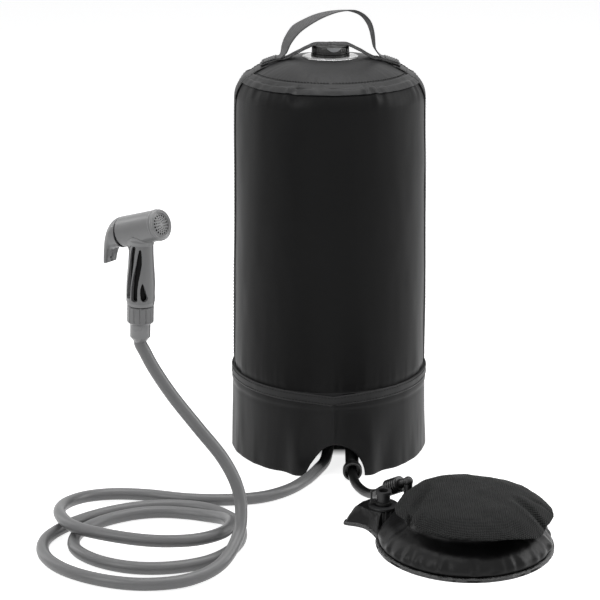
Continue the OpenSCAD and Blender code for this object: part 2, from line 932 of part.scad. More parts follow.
stem_button_s = boss_from - 5.6;
stem_button_r = 3;
module valve_stem() {
    color([0.7, 0.7, 0.7])
        in_handset()
            in_head()
                translate([0, 0, stem_t])
                    along_spray() {
                        rod(stem_r, stem_button_s, boss_from + stem_l);
                        translate([0, 0, stem_button_s])
                            sphere(r = stem_button_r);
                    }
}

module return_spring() {
    coils = 4;
    pitch = 1.3;
    color([0.7, 0.7, 0.72])
        in_handset()
            in_head()
                translate([boss_from + 5.3, 0, stem_t])
                    along_spray()
                        for (i = [0 : coils - 1])
                            translate([0, 0, -i * pitch])
                                rotate_extrude()
                                    translate([3, 0])
                                        circle(r = 0.45, $fn = 16);
}

module stem_seal() {
    color([0.1, 0.1, 0.1])
        in_handset()
            in_head()
                translate([boss_from + 5.9, 0, stem_t])
                    along_spray()
                        rotate([180, 0, 0])
                            tube(4.2, stem_r + run, -0.1, 0.1);
}

// Foot pump, on its own axis; the lobe carries the intake valve

// The pump's rim keeps its place beside the nut of the air hose: the pump's centre lies away from it by its reach
pump_rim_place = [68.7, -213.92, 0];
pump_away = [0.7, -0.72];
pump_reach = max(pump_r, cover_r + 9);
pump_place = pump_rim_place + pump_reach * [pump_away[0], pump_away[1], 0];
lobe_place = [-20.7, -16.08] - pump_reach * pump_away;
valve_place = [-16.7, -18.08] - pump_reach * pump_away;
spigot_place = [8.8, -8.38] - pump_reach * pump_away;
spigot_r = 4.5;
module in_pump() {
    translate(pump_place)
        children();
}

base_t = 2;
module pump_outline(grow) {
    away = norm(lobe_place);
    angle = atan2(lobe_place[1], lobe_place[0]);
    swing = acos((pump_r - lobe_r) / away);
    a = [cos(angle - swing), sin(angle - swing)];
    b = [cos(angle + swing), sin(angle + swing)];
    circle(r = pump_r + grow);
    translate(lobe_place)
        circle(r = lobe_r + grow);
    polygon([
        (pump_r + grow) * a, lobe_place + (lobe_r + grow) * a,
        lobe_place + (lobe_r + grow) * b, (pump_r + grow) * b, [0, 0]
    ]);
}

module pump_base() {
    color([0.1, 0.1, 0.11])
        in_pump()
            linear_extrude(base_t)
                pump_outline(0);
}

rim_z = base_t + lap;
module pump_rim() {
    color([0.12, 0.12, 0.13])
        in_pump()
            translate([0, 0, rim_z])
                linear_extrude(2)
                    difference() {
                        pump_outline(0);
                        pump_outline(-5);
                    }
}

bite_r = valve_r + 8 + slack;
shell_foot_r = pump_r - 6;
shell_t = 1.5;
shell_top_z = plate_z - lap;
lobe_edge_z = rim_z + 3;
bowl_r = plate_r + 6;
module pump_shell() {
    color([0.13, 0.13, 0.14])
        in_pump()
            difference() {
                rotate_extrude()
                    polygon([
                        [shell_foot_r, rim_z], [shell_foot_r + 1, 6], [shell_foot_r + 3, 10],
                        [shell_foot_r + 2, 16], [shell_foot_r - 3, 22], [shell_foot_r - 9, 28],
                        [bowl_r, shell_top_z - 2], [bowl_r - 10, shell_top_z],
                        [bowl_r - 10, shell_top_z - shell_t], [bowl_r - 1, shell_top_z - 2 - shell_t],
                        [shell_foot_r - 10.5, 27], [shell_foot_r - 4.5, 21.4], [shell_foot_r + 0.5, 15.6],
                        [shell_foot_r + 1.5, 10.2], [shell_foot_r - 0.5, 6.4], [shell_foot_r - 1.5, rim_z]
                    ]);
                translate([valve_place[0], valve_place[1], 0])
                    cylinder(r = bite_r + slack, h = 2 * lobe_h);
                translate([spigot_place[0], spigot_place[1], 0])
                    cylinder(r = spigot_r + slack, h = 3 * lobe_h);
            }
}

module pump_lobe() {
    color([0.13, 0.13, 0.14])
        in_pump()
            difference() {
                translate([lobe_place[0], lobe_place[1], 0])
                    rotate_extrude()
                        polygon([
                            [0, rim_z], [lobe_r - 5.5, rim_z], [lobe_r - 5.5, lobe_edge_z],
                            [lobe_r - 9, lobe_h - 5], [lobe_r - 16, lobe_h], [0, lobe_h]
                        ]);
                difference() {
                    rod(shell_foot_r + 3 + slack, 0, lobe_h + 1);
                    translate([valve_place[0], valve_place[1], 0])
                        cylinder(r = bite_r, h = 2 * lobe_h);
                }
                translate([spigot_place[0], spigot_place[1], 0])
                    cylinder(r = spigot_r + slack, h = 3 * lobe_h);
            }
}

module pump_foam() {
    color([0.35, 0.36, 0.38])
        in_pump()
            rod(plate_r - 6, base_t + lap, plate_z - lap);
}

plate_t = 2;
module pump_plate() {
    color([0.2, 0.2, 0.21])
        in_pump()
            difference() {
                rod(plate_r, plate_z, plate_z + plate_t);
                for (i = [0 : 5])
                    rotate([0, 0, 60 * i])
                        translate([plate_r * 0.6, 0, plate_z - 1])
                            cylinder(r = 6, h = plate_t + 2);
            }
}

cover_z = plate_z + plate_t + lap;
cover_t = 2;
cover_chord = 68;
cover_side = 145;
module pump_cover() {
    color([0.15, 0.16, 0.15])
        in_pump()
            difference() {
                rotate_extrude()
                    polygon([
                        [0, cover_z], [plate_r + 2, cover_z], [cover_r, cover_z - 4.4],
                        [cover_r, cover_z - 4.4 + cover_t], [cover_r - 8, cover_z + cover_rise * 0.3],
                        [cover_r - 20, cover_z + cover_rise * 0.62], [cover_r - 36, cover_z + cover_rise * 0.85],
                        [cover_r - 54, cover_z + cover_rise * 0.97], [0, cover_z + cover_rise]
                    ]);
                rotate([0, 0, cover_side])
                    translate([cover_chord, -100, 0])
                        cube([100, 200, 100]);
            }
}

flange_top_z = lobe_h + lap + 2;
valve_top_z = plate_z - 1;
barrel_z = flange_top_z + lap;
module in_valve() {
    in_pump()
        translate([valve_place[0], valve_place[1], 0])
            children();
}

module valve_flange() {
    color([0.2, 0.2, 0.21])
        in_valve()
            tube(valve_r + 8, valve_r + 2, lobe_h + lap, flange_top_z);
}

valve_seat = barrel_z + 4;
module valve_barrel() {
    color([0.18, 0.18, 0.19])
        in_valve() {
            difference() {
                union() {
                    rod(valve_r, lobe_h + lap, valve_top_z);
                    rod(valve_r + 1.2, valve_top_z - 3, valve_top_z);
                }
                rod(2.6, lobe_h - 1, valve_top_z + 1);
                rod(valve_r - 2, valve_seat, valve_top_z + 1);
            }
            translate([-valve_r + 1, -0.7, valve_seat + 5])
                cube([2 * valve_r - 2, 1.4, 1.2]);
        }
}

module intake_disc() {
    color([0.3, 0.12, 0.1])
        in_valve()
            rod(valve_r - 2 - slack, valve_seat + 0.1, valve_seat + 1.6);
}

module valve_tether() {
    color([0.1, 0.1, 0.1])
        in_valve() {
            tube(valve_r + 1.8, valve_r + lap, barrel_z + 1.4, barrel_z + 3.4);
            translate([-valve_r - 5, -2.5, barrel_z + 1.4])
                cube([4.2, 5, 2]);
            translate([-valve_r - 6, -2.5, barrel_z + 1.4])
                cube([1.8, 5, 13]);
        }
}

air_end = [58, -205, 28];
nut_axis = unit([17, -15, 13]);
spigot_seat = air_end + 20 * nut_axis;
module pump_spigot() {
    foot = [pump_place[0] + spigot_place[0], pump_place[1] + spigot_place[1], 0];
    elbow = spigot_seat + 10 * nut_axis;
    under = [foot[0], foot[1], base_t + lap];
    color([0.12, 0.12, 0.13])
        difference() {
            union() {
                rod_between(under, [foot[0], foot[1], elbow[2]], spigot_r);
                translate([foot[0], foot[1], elbow[2]])
                    sphere(r = spigot_r + 0.6);
                rod_between(spigot_seat, [foot[0], foot[1], elbow[2]], spigot_r);
                rod_between(air_end + lap * nut_axis, spigot_seat + nut_axis, air_hose_d / 2 - 0.4);
            }
            rod_between(air_end - nut_axis, elbow, 2.2);
        }
}

module pump_hose_nut() {
    color([0.08, 0.08, 0.08])
        translate(air_end)
            rotate([0, acos(nut_axis[2]), atan2(nut_axis[1], nut_axis[0])])
                difference() {
                    union() {
                        rod(rib_nut_r - 1, 0, 19);
                        for (i = [0 : rib_count - 1])
                            translate([0, 0, i * 19 / rib_count])
                                rod(rib_nut_r, 0.5, 2.5);
                    }
                    rod(air_hose_d / 2 + run, -5, 22);
                }
}

// Hoses

hose_route = [
    [2, -28, 58], [1, -36, 31], [-1, -54, 13], [-5, -80, 6.8], [-13, -104, 6.6], [-26, -133, 6.6],
    [-45, -160, 6.6], [-72, -179, 6.6], [-108, -186, 6.6], [-150, -184, 6.6], [-192, -174, 6.8],
    [-228, -174, 8], [-257, -189, 11], [-274, -217, 15], [-274, -250, 19], [-257, -280, 19.5],
    [-225, -299, 19.5], [-182, -312, 19], [-146, -314, 19.5], [-122, -307, 20], [-106, -290, 19],
    [-102, -267, 17], [-109, -246, 12], [-127, -229, 7.5], [-150, -220, 6.6], [-178, -217, 6.6],
    [-207, -224, 6.6], [-236, -243, 6.6], [-254, -270, 6.6], [-253, -303, 6.6], [-230, -330, 6.6],
    [-195, -346, 6.6], [-158, -347, 6.6], [-123, -334, 6.6], [-100, -308, 6.6], [-91, -274, 6.6],
    [-99, -238, 6.6], [-125, -211, 6.6], [-160, -201, 6.6], [-198, -205, 6.6], [-234, -221, 6.6],
    [-265, -248, 6.6], [-284, -282, 6.6], [-281, -318, 6.6], [-258, -350, 6.6], [-220, -373, 6.6],
    [-178, -382, 6.6], [-137, -374, 7.5], [-108, -350, 12], [-93, -315, 24], [-90, -294, 44],
    [-95, -283, 66], [-109, -275, 91], [-133, -268, 120], [-157, -262, 150], [-174, -257, 175],
    [-184, -253, 193], handset_place
];
air_route = [
    [24, -113, 10.6], [24, -126, 9], [27, -143, 6.5], [33, -159, 6], [40, -174, 8.5], [47, -189, 15],
    [52, -199, 22.5], air_end
];

module shower_hose() {
    color([0.5, 0.5, 0.51])
        hose(
            hose_route, hose_d, [0, 0, -1],
            [sin(handset_lean) * cos(handset_yaw), sin(handset_lean) * sin(handset_yaw), cos(handset_lean)]
        );
}

module air_hose() {
    color([0.05, 0.05, 0.05])
        hose(air_route, air_hose_d, [0, -1, 0], nut_axis);
}

bag_wall();
top_panel();
shoulder_band();
bag_floor();
base_skirt();
skirt_hem();
side_strips();
handle_anchors();
carry_handle();
keeper_strap();
filler_flange();
filler_neck();
cap_leash_ring();
cap_tab();
filler_cap();
cap_seal();
water_outlet();
outlet_seal();
outlet_nut();
hose_clamp();
air_inlet();
inlet_seal();
inlet_nut();
check_disc();
air_elbow();
hose_sleeve();
hose_nut();
nut_washer();
grip_core();
base_ring();
grip_shell();
head_shell();
face_ring();
spray_face();
lever();
lever_pin();
valve_stem();
stem_seal();
return_spring();
pump_base();
pump_rim();
pump_lobe();
pump_shell();
pump_foam();
pump_plate();
pump_cover();
valve_flange();
valve_barrel();
intake_disc();
valve_tether();
pump_spigot();
pump_hose_nut();
shower_hose();
air_hose();
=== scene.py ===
import math
import bpy
import numpy as np
from mathutils import Matrix, Vector


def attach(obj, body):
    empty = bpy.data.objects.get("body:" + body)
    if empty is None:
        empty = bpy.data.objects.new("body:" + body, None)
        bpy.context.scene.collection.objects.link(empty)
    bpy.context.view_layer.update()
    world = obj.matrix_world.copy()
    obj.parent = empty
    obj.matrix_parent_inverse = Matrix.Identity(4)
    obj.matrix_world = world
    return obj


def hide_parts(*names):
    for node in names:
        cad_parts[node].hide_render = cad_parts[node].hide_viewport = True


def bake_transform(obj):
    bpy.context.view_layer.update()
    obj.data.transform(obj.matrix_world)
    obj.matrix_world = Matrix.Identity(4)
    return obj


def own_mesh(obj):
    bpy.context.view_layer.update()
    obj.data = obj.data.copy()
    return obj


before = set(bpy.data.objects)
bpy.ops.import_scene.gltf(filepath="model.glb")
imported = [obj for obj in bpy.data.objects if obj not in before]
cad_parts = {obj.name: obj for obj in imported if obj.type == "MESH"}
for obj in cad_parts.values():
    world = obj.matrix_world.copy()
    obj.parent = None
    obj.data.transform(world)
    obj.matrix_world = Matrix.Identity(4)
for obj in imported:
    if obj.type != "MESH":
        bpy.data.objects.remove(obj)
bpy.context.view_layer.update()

MM = 0.001  # the shapes are in millimetres, the scene in metres
rad = math.radians

# Camera, solved from where bag, pump and hose stand on the photo's floor
CAMERA_AT = (-0.0325, -1.909, 0.7636)
CAMERA_DOWN = 17.37


def add_object(name, data):
    ob = bpy.data.objects.new(name, data)
    bpy.context.scene.collection.objects.link(ob)
    return ob


cam_data = bpy.data.cameras.new("camera")
cam_data.lens = 107.7
cam_data.sensor_width = 36
cam_data.clip_end = 20
camera = add_object("camera", cam_data)
camera.location = CAMERA_AT
camera.rotation_euler = (rad(90 - CAMERA_DOWN), 0, 0)
bpy.context.scene.camera = camera


# Materials
def math_node(tree, operation, a, b):
    """The result of a maths node whose inputs are numbers or sockets"""
    node = tree.nodes.new("ShaderNodeMath")
    node.operation = operation
    for socket, value in zip(node.inputs, (a, b)):
        if isinstance(value, bpy.types.NodeSocket):
            tree.links.new(value, socket)
        else:
            socket.default_value = value
    return node.outputs[0]


def material(name, color, rough, spec, vary, vary_scale, bump=(0.2, 0.0006), grain=None, wrinkle=None,
             weave=None, rough_vary=0.12, coat=0.0, sheen=0.0, metallic=0.0, transmission=0.0):
    """Relief: bump is (strength, distance), grain and wrinkle are the (height, scale) of a noise, weave is
    (pitch in metres, height, how far the threads darken the colour)"""
    m = bpy.data.materials.new(name)
    m.use_nodes = True
    nt = m.node_tree
    nt.nodes.clear()
    n = nt.nodes.new
    link = nt.links.new
    out = n("ShaderNodeOutputMaterial")
    p = n("ShaderNodeBsdfPrincipled")
    link(p.outputs[0], out.inputs[0])
    for socket, value in (("Specular IOR Level", spec), ("Coat Weight", coat), ("Coat Roughness", 0.25),
                          ("Sheen Weight", sheen), ("Metallic", metallic),
                          ("Transmission Weight", transmission)):
        p.inputs[socket].default_value = value
    tc = n("ShaderNodeTexCoord")

    def pattern(kind, coords, **values):
        node = n("ShaderNodeTex" + kind)
        for socket, value in values.items():
            node.inputs[socket].default_value = value
        link(tc.outputs[coords], node.inputs["Vector"])
        return node

    big = pattern("Noise", "Object", Scale=vary_scale, Detail=5, Roughness=0.6).outputs["Fac"]
    ramp = n("ShaderNodeValToRGB")
    for element, position, k in zip(ramp.color_ramp.elements, (0.3, 0.72), (1 - vary, 1 + vary)):
        element.position = position
        element.color = (*(min(1, c * k) for c in color), 1)
    link(big, ramp.inputs["Fac"])
    col = ramp.outputs["Color"]
    rr = n("ShaderNodeMapRange")
    rr.inputs["To Min"].default_value = max(0.02, rough - rough_vary)
    rr.inputs["To Max"].default_value = min(1, rough + rough_vary)
    link(big, rr.inputs["Value"])
    link(rr.outputs["Result"], p.inputs["Roughness"])
    reliefs = []
    if grain:
        reliefs.append((pattern("Noise", "Object", Scale=grain[1], Detail=3), grain[0]))
    if wrinkle:
        reliefs.append((pattern("Noise", "Object", Scale=wrinkle[1], Detail=4, Distortion=0.6), wrinkle[0]))
    if weave:
        pitch, depth, shade = weave
        for axis in "XY":
            wv = pattern("Wave", "UV", Scale=0.314 / pitch, Distortion=0.15, Detail=1)
            wv.bands_direction = axis
            reliefs.append((wv, depth))
            mx = n("ShaderNodeMix")
            mx.data_type = "RGBA"
            mx.blend_type = "MULTIPLY"
            mx.inputs[0].default_value = shade
            link(col, mx.inputs[6])
            link(wv.outputs["Color"], mx.inputs[7])
            col = mx.outputs[2]
    link(col, p.inputs["Base Color"])
    heights = [math_node(nt, "MULTIPLY", node.outputs["Fac"], k) for node, k in reliefs]
    height = heights[0]
    for other in heights[1:]:
        height = math_node(nt, "ADD", height, other)
    b = n("ShaderNodeBump")
    b.inputs["Strength"].default_value, b.inputs["Distance"].default_value = bump
    link(height, b.inputs["Height"])
    link(b.outputs[0], p.inputs["Normal"])
    return m


FABRIC = dict(grain=(0.45, 1300), bump=(0.3, 0.0004), wrinkle=(1.0, 26), rough_vary=0.05)
MOULDED = dict(grain=(0.5, 1600), bump=(0.06, 0.0002), coat=0.15, rough_vary=0.05)
# Each look: colour, roughness, specular level, how much and at what scale the colour varies, and its relief
LOOKS = {
    # Wall, skirt and top panel are one tarpaulin: the skirt's and the top's lighter colours are painted light
    "tarp": ((0.0075, 0.0075, 0.0077), 0.4, 0.1, 0.2, 9, FABRIC),
    "skirt": ((0.013, 0.013, 0.0133), 0.42, 0.16, 0.2, 9, FABRIC),
    "tarp_top": ((0.018, 0.018, 0.0185), 0.45, 0.2, 0.2, 12,
        dict(grain=(0.5, 1300), bump=(0.35, 0.0004), wrinkle=(1.2, 40), rough_vary=0.06)),
    "strip": ((0.028, 0.028, 0.0285), 0.5, 0.25, 0.18, 16,
        dict(grain=(0.6, 1200), bump=(0.35, 0.0004), wrinkle=(1.2, 70))),
    "inside": ((0.006, 0.006, 0.006), 0.6, 0.12, 0.2, 20, dict(grain=(0.6, 900), bump=(0.3, 0.0006))),
    "webbing": ((0.2, 0.2, 0.202), 0.78, 0.25, 0.12, 60,
        dict(weave=(0.0016, 0.6, 0.35), bump=(0.7, 0.0005), sheen=0.15)),
    "thread": ((0.012, 0.012, 0.012), 0.7, 0.3, 0.2, 200, dict(grain=(1, 3000))),
    # Clear PVC made light in colour and only partly clear: painted highlight of the flange's bright edges
    "clear": ((0.75, 0.75, 0.75), 0.16, 0.5, 0.12, 60,
        dict(grain=(0.4, 500), transmission=0.35, bump=(0.3, 0.0006))),
    "black": ((0.006, 0.006, 0.006), 0.38, 0.5, 0.2, 80, dict(grain=(0.8, 1800), bump=(0.15, 0.0003))),
    "cap": ((0.0055, 0.0055, 0.0055), 0.3, 0.5, 0.2, 60, dict(grain=(0.7, 1500), bump=(0.12, 0.0003))),
    "tab": ((0.42, 0.43, 0.44), 0.45, 0.5, 0.08, 80, dict(grain=(0.4, 900), bump=(0.1, 0.0006))),
    "rubber": ((0.008, 0.008, 0.008), 0.62, 0.4, 0.2, 100, dict(grain=(0.8, 900), bump=(0.2, 0.0006))),
    "valve_red": ((0.09, 0.02, 0.016), 0.55, 0.4, 0.15, 100, dict(grain=(0.5, 900), bump=(0.1, 0.0006))),
    "steel": ((0.52, 0.52, 0.53), 0.3, 0.5, 0.08, 200,
        dict(grain=(0.6, 2500), metallic=1.0, bump=(0.1, 0.0002))),
    "abs": ((0.25, 0.25, 0.252), 0.3, 0.4, 0.06, 30, MOULDED),
    "abs_light": ((0.33, 0.33, 0.333), 0.28, 0.4, 0.06, 40, MOULDED),
    "core": ((0.003, 0.003, 0.003), 0.55, 0.1, 0.2, 80, dict(grain=(0.5, 900), bump=(0.1, 0.0006))),
    "hose": ((0.2, 0.2, 0.202), 0.36, 0.5, 0.08, 25,
        dict(grain=(0.4, 900), bump=(0.08, 0.0003), rough_vary=0.06)),
    "air": ((0.005, 0.005, 0.005), 0.32, 0.3, 0.15, 40, dict(grain=(0.4, 900), bump=(0.08, 0.0006))),
    "pump": ((0.005, 0.005, 0.0052), 0.36, 0.2, 0.25, 22,
        dict(grain=(0.6, 1200), bump=(0.45, 0.0006), wrinkle=(1.6, 55))),
    # The welded edge is the pump's film, glossier, and lighter in colour: the lighter colour is a painted
    # highlight of its glints
    "edge": ((0.02, 0.02, 0.0203), 0.24, 0.6, 0.3, 60,
        dict(grain=(0.6, 1200), bump=(0.8, 0.001), wrinkle=(2.2, 150))),
    "mesh": ((0.028, 0.029, 0.0285), 0.7, 0.12, 0.2, 40,
        dict(weave=(0.0021, 0.8, 0.6), bump=(0.9, 0.0007), sheen=0.05)),
    "foam": ((0.25, 0.26, 0.28), 0.9, 0.2, 0.15, 60, dict(grain=(1.2, 500), bump=(0.6, 0.0006))),
    "board": ((0.05, 0.05, 0.05), 0.6, 0.3, 0.15, 60, dict(grain=(0.6, 900), bump=(0.2, 0.0006))),
    "valve": ((0.02, 0.02, 0.021), 0.45, 0.45, 0.2, 60, dict(grain=(0.8, 1500), bump=(0.15, 0.0006))),
}
M = {name: material(name, *look[:-1], **look[-1]) for name, look in LOOKS.items()}


# Mesh tools
def lattice(ix, iy, iz, seed):
    """A fixed value between -1 and 1 for each point of a lattice"""
    h = (ix * 374761393 + iy * 668265263 + iz * 2147483647 + seed * 1274126177) & 0xFFFFFFFF
    h = ((h ^ (h >> 13)) * 1274126177) & 0xFFFFFFFF
    return ((h ^ (h >> 16)) & 0xFFFF) / 32767.5 - 1


def noise(x, y, z, seed):
    """Smooth value noise between -1 and 1, on arrays"""
    x, y, z = np.broadcast_arrays(np.asarray(x, float), y, z)
    ix, iy, iz = (np.floor(a).astype(np.int64) for a in (x, y, z))
    f = [a - b for a, b in zip((x, y, z), (ix, iy, iz))]
    f = [a * a * (3 - 2 * a) for a in f]
    out = 0
    for dx in (0, 1):
        for dy in (0, 1):
            for dz in (0, 1):
                w = (f[0] if dx else 1 - f[0]) * (f[1] if dy else 1 - f[1]) * (f[2] if dz else 1 - f[2])
                out = out + w * lattice(ix + dx, iy + dy, iz + dz, seed)
    return out


def folds(x, y, z, *layers):
    """Noise for a skin round an axis, summed over layers of (height, folds per radius, length in z, seed)"""
    return sum(height * noise(x * k, y * k, z / length, seed) for height, k, length, seed in layers)


def dents(x, y, *layers):
    """Noise for a flat skin, summed over layers of (height, size of a dent, seed)"""
    return sum(height * noise(x / size, y / size, 0, seed) for height, size, seed in layers)


def circle(n):
    return np.linspace(0, 2 * math.pi, n, endpoint=False)


def bell(x, width):
    """1 at x = 0, falling off to both sides"""
    return np.exp(-(np.asarray(x, float) / width) ** 2)


def smooth(x, a, b):
    """0 before a and 1 past b, with a soft rise between"""
    t = np.clip((np.asarray(x, float) - a) / (b - a), 0, 1)
    return t * t * (3 - 2 * t)


def lengths(path):
    """Distance along a path at each of its points"""
    return np.concatenate([[0], np.cumsum(np.linalg.norm(np.diff(path, axis=0), axis=1))])


def placed(matrix, pts):
    m = np.array(matrix)
    return np.asarray(pts, float) @ m[:3, :3].T + m[:3, 3]


def piece(name, verts, faces, mat, slot, body="shower", replaces=(), uv=None, shade=True, solid=0.0):
    """A mesh in millimetres that rides on a body; solid is the thickness that it gets inwards"""
    me = bpy.data.meshes.new(name)
    me.from_pydata([tuple(v) for v in np.asarray(verts, float) * MM], [], faces)
    me.validate()
    if uv is not None:
        layer = me.uv_layers.new(name="UVMap")
        idx = np.empty(len(me.loops), np.int64)
        me.loops.foreach_get("vertex_index", idx)
        layer.data.foreach_set("uv", (np.asarray(uv, float)[idx] * MM).ravel())
    ob = add_object(name, me)
    me.materials.append(M[mat])
    if shade:
        me.polygons.foreach_set("use_smooth", [True] * len(me.polygons))
    if solid:
        md = ob.modifiers.new("thickness", "SOLIDIFY")
        md.thickness = solid * MM
    if body:
        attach(ob, body)
    if replaces:
        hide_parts(*replaces)
    return ob


def grid_faces(n, m, wrap=False, flip=False):
    """Quads of n rows of m points; wrap joins the last column to the first"""
    out = []
    for i in range(n - 1):
        for j in range(m if wrap else m - 1):
            a, b = i * m + j, i * m + (j + 1) % m
            out.append((a, a + m, b + m, b) if flip else (a, b, b + m, a + m))
    return out


def grid(name, pts, mat, wrap=False, uv=None, **kw):
    faces = grid_faces(*pts.shape[:2], wrap)
    return piece(name, pts.reshape(-1, 3), faces, mat, uv=None if uv is None else uv.reshape(-1, 2), **kw)


def join(name, parts, mat, **kw):
    """One piece from several (verts, faces) lists"""
    verts, faces, base = [], [], 0
    for v, f in parts:
        verts.append(np.asarray(v, float).reshape(-1, 3))
        faces += [tuple(i + base for i in q) for q in f]
        base += len(verts[-1])
    return piece(name, np.concatenate(verts), faces, mat, **kw)


def catmull(p, n, start=None, end=None):
    """A smooth curve through points, n steps from one to the next; start and end are its directions there"""
    p = np.asarray(p, float)
    first = p[0] * 2 - p[1] if start is None else p[1] - 2 * np.linalg.norm(p[1] - p[0]) * np.asarray(start)
    last = p[-1] * 2 - p[-2] if end is None else p[-2] + 2 * np.linalg.norm(p[-1] - p[-2]) * np.asarray(end)
    q = np.vstack([first, p, last])
    out = []
    for i in range(1, len(q) - 2):
        a, b, c, d = q[i - 1:i + 3]
        for t in np.arange(n) / n:
            out.append(0.5 * (2 * b + (c - a) * t + (2 * a - 5 * b + 4 * c - d) * t * t
                              + (3 * b - a - 3 * c + d) * t ** 3))
    out.append(p[-1])
    return np.array(out)


def tube_mesh(path, r, sides):
    """(verts, faces) of a round tube with closed ends, r a number or one per point"""
    path = np.asarray(path, float)
    r = np.broadcast_to(np.asarray(r, float), (len(path),))
    t = np.gradient(path, axis=0)
    t /= np.linalg.norm(t, axis=1)[:, None]
    n = np.cross(t[0], (0, 0, 1) if abs(t[0][2]) < 0.9 else (1, 0, 0))
    n /= np.linalg.norm(n)
    rows = []
    for k in range(len(path)):
        n = n - t[k] * (n @ t[k])
        n /= np.linalg.norm(n)
        b = np.cross(t[k], n)
        a = np.arange(sides) * 2 * math.pi / sides
        rows.append(path[k] + r[k] * (np.cos(a)[:, None] * n + np.sin(a)[:, None] * b))
    v = np.concatenate(rows)
    f = grid_faces(len(path), sides, wrap=True, flip=True)
    f.append(tuple(range(sides)))
    f.append(tuple(reversed(range(len(v) - sides, len(v)))))
    return v, f


def lathe(profile, n, matrix=None, wave=None):
    """(verts, faces) of a profile of (r, z) turned round Z; wave bends its radius and matrix places it"""
    p = np.asarray(profile, float)
    a = np.arange(n) * 2 * math.pi / n
    r = p[:, 0][:, None] * np.ones(n)
    z = p[:, 1][:, None] * np.ones(n)
    if wave is not None:
        r = wave(r, z, a[None, :])
    v = np.stack([r * np.cos(a), r * np.sin(a), z], -1).reshape(-1, 3)
    return v if matrix is None else placed(matrix, v), grid_faces(len(p), n, wrap=True)


def paint(mat, *nodes):
    for name in nodes:
        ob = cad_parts[name]
        ob.data.materials.clear()
        ob.data.materials.append(M[mat])


# Hoses: the points of both routes are those of the CAD source
HOSE_D, AIR_D = 12.5, 10
HANDSET_AXIS = (0.0414433, -0.0290189, 0.9987194)
NUT_AXIS = np.array((17, -15, 13.0)) / np.linalg.norm((17, -15, 13))
HOSE = [
    (2, -28, 58), (1, -36, 31), (-1, -54, 13), (-5, -80, 6.8), (-13, -104, 6.6), (-26, -133, 6.6),
    (-45, -160, 6.6), (-72, -179, 6.6), (-108, -186, 6.6), (-150, -184, 6.6), (-192, -174, 6.8),
    (-228, -174, 8), (-257, -189, 11), (-274, -217, 15), (-274, -250, 19), (-257, -280, 19.5),
    (-225, -299, 19.5), (-182, -312, 19), (-146, -314, 19.5), (-122, -307, 20), (-106, -290, 19),
    (-102, -267, 17), (-109, -246, 12), (-127, -229, 7.5), (-150, -220, 6.6), (-178, -217, 6.6),
    (-207, -224, 6.6), (-236, -243, 6.6), (-254, -270, 6.6), (-253, -303, 6.6), (-230, -330, 6.6),
    (-195, -346, 6.6), (-158, -347, 6.6), (-123, -334, 6.6), (-100, -308, 6.6), (-91, -274, 6.6),
    (-99, -238, 6.6), (-125, -211, 6.6), (-160, -201, 6.6), (-198, -205, 6.6), (-234, -221, 6.6),
    (-265, -248, 6.6), (-284, -282, 6.6), (-281, -318, 6.6), (-258, -350, 6.6), (-220, -373, 6.6),
    (-178, -382, 6.6), (-137, -374, 7.5), (-108, -350, 12), (-93, -315, 24), (-90, -294, 44),
    (-95, -283, 66), (-109, -275, 91), (-133, -268, 120), (-157, -262, 150), (-174, -257, 175),
    (-184, -253, 193), (-188.5, -250, 203)]
AIR = [(24, -113, 10.6), (24, -126, 9), (27, -143, 6.5), (33, -159, 6), (40, -174, 8.5), (47, -189, 15),
       (52, -199, 22.5), (58, -205, 28)]


def hose(name, route, d, mat, node, start, end):
    pts = catmull(route, 8, start, end)
    cu = bpy.data.curves.new(name, "CURVE")
    cu.dimensions = "3D"
    sp = cu.splines.new("POLY")
    sp.points.add(len(pts) - 1)
    for p, q in zip(sp.points, pts * MM):
        p.co = (*q, 1)
    sp.use_smooth = True
    cu.bevel_depth = d / 2 * MM
    cu.bevel_resolution = 6
    cu.use_fill_caps = True
    cu.materials.append(M[mat])
    ob = add_object(name, cu)
    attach(ob, "shower")
    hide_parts(node)


hose("long_hose", HOSE, HOSE_D, "hose", "shower_hose", (0, 0, -1), HANDSET_AXIS)
hose("short_air_hose", AIR, AIR_D, "air", "air_hose", (0, -1, 0), NUT_AXIS)

# Bag: outline of wall, shoulder and crown as in the CAD source
FOOT_R, FOOT_Z, WALL_TAPER = 106.8, 95, 4.8
SHOULDER_R, SHOULDER_Z, BEND_R, CROWN_R = 102, 397, 28, 116
BEND_END, CROWN_END = 57, 87


def skin_rz(t, d=0.0):
    """Radius and height of shoulder and crown at a turn of t degrees, lifted off them by d"""
    t = np.asarray(t, float)
    tb = np.minimum(t, BEND_END)
    br = SHOULDER_R - BEND_R * (1 - np.cos(np.radians(tb)))
    bz = SHOULDER_Z + BEND_R * np.sin(np.radians(tb))
    c, s = np.cos(np.radians(t)), np.sin(np.radians(t))
    r = br + np.where(t > BEND_END, CROWN_R * (c - math.cos(rad(BEND_END))), 0)
    z = bz + np.where(t > BEND_END, CROWN_R * (s - math.sin(rad(BEND_END))), 0)
    return r + d * c, z + d * s


def wall_r(z):
    return FOOT_R - WALL_TAPER * (np.asarray(z, float) - FOOT_Z) / (SHOULDER_Z - FOOT_Z)


def around(r, z, phi):
    """Points from radius, height and the angle phi, counted from the front towards +X"""
    return np.stack([r * np.sin(phi), -r * np.cos(phi), z + 0 * phi], -1)


def lifted(r, z, t, d, phi):
    """Points of the outline pushed out by d along its normal, which leans up by t degrees"""
    return around(r + d * np.cos(np.radians(t)), z + d * np.sin(np.radians(t)), phi)


CROWN_TOP = float(skin_rz(CROWN_END)[1])
SIDES = (-1, "left"), (1, "right")
PHI = np.linspace(-math.pi, math.pi, 721)[:-1]


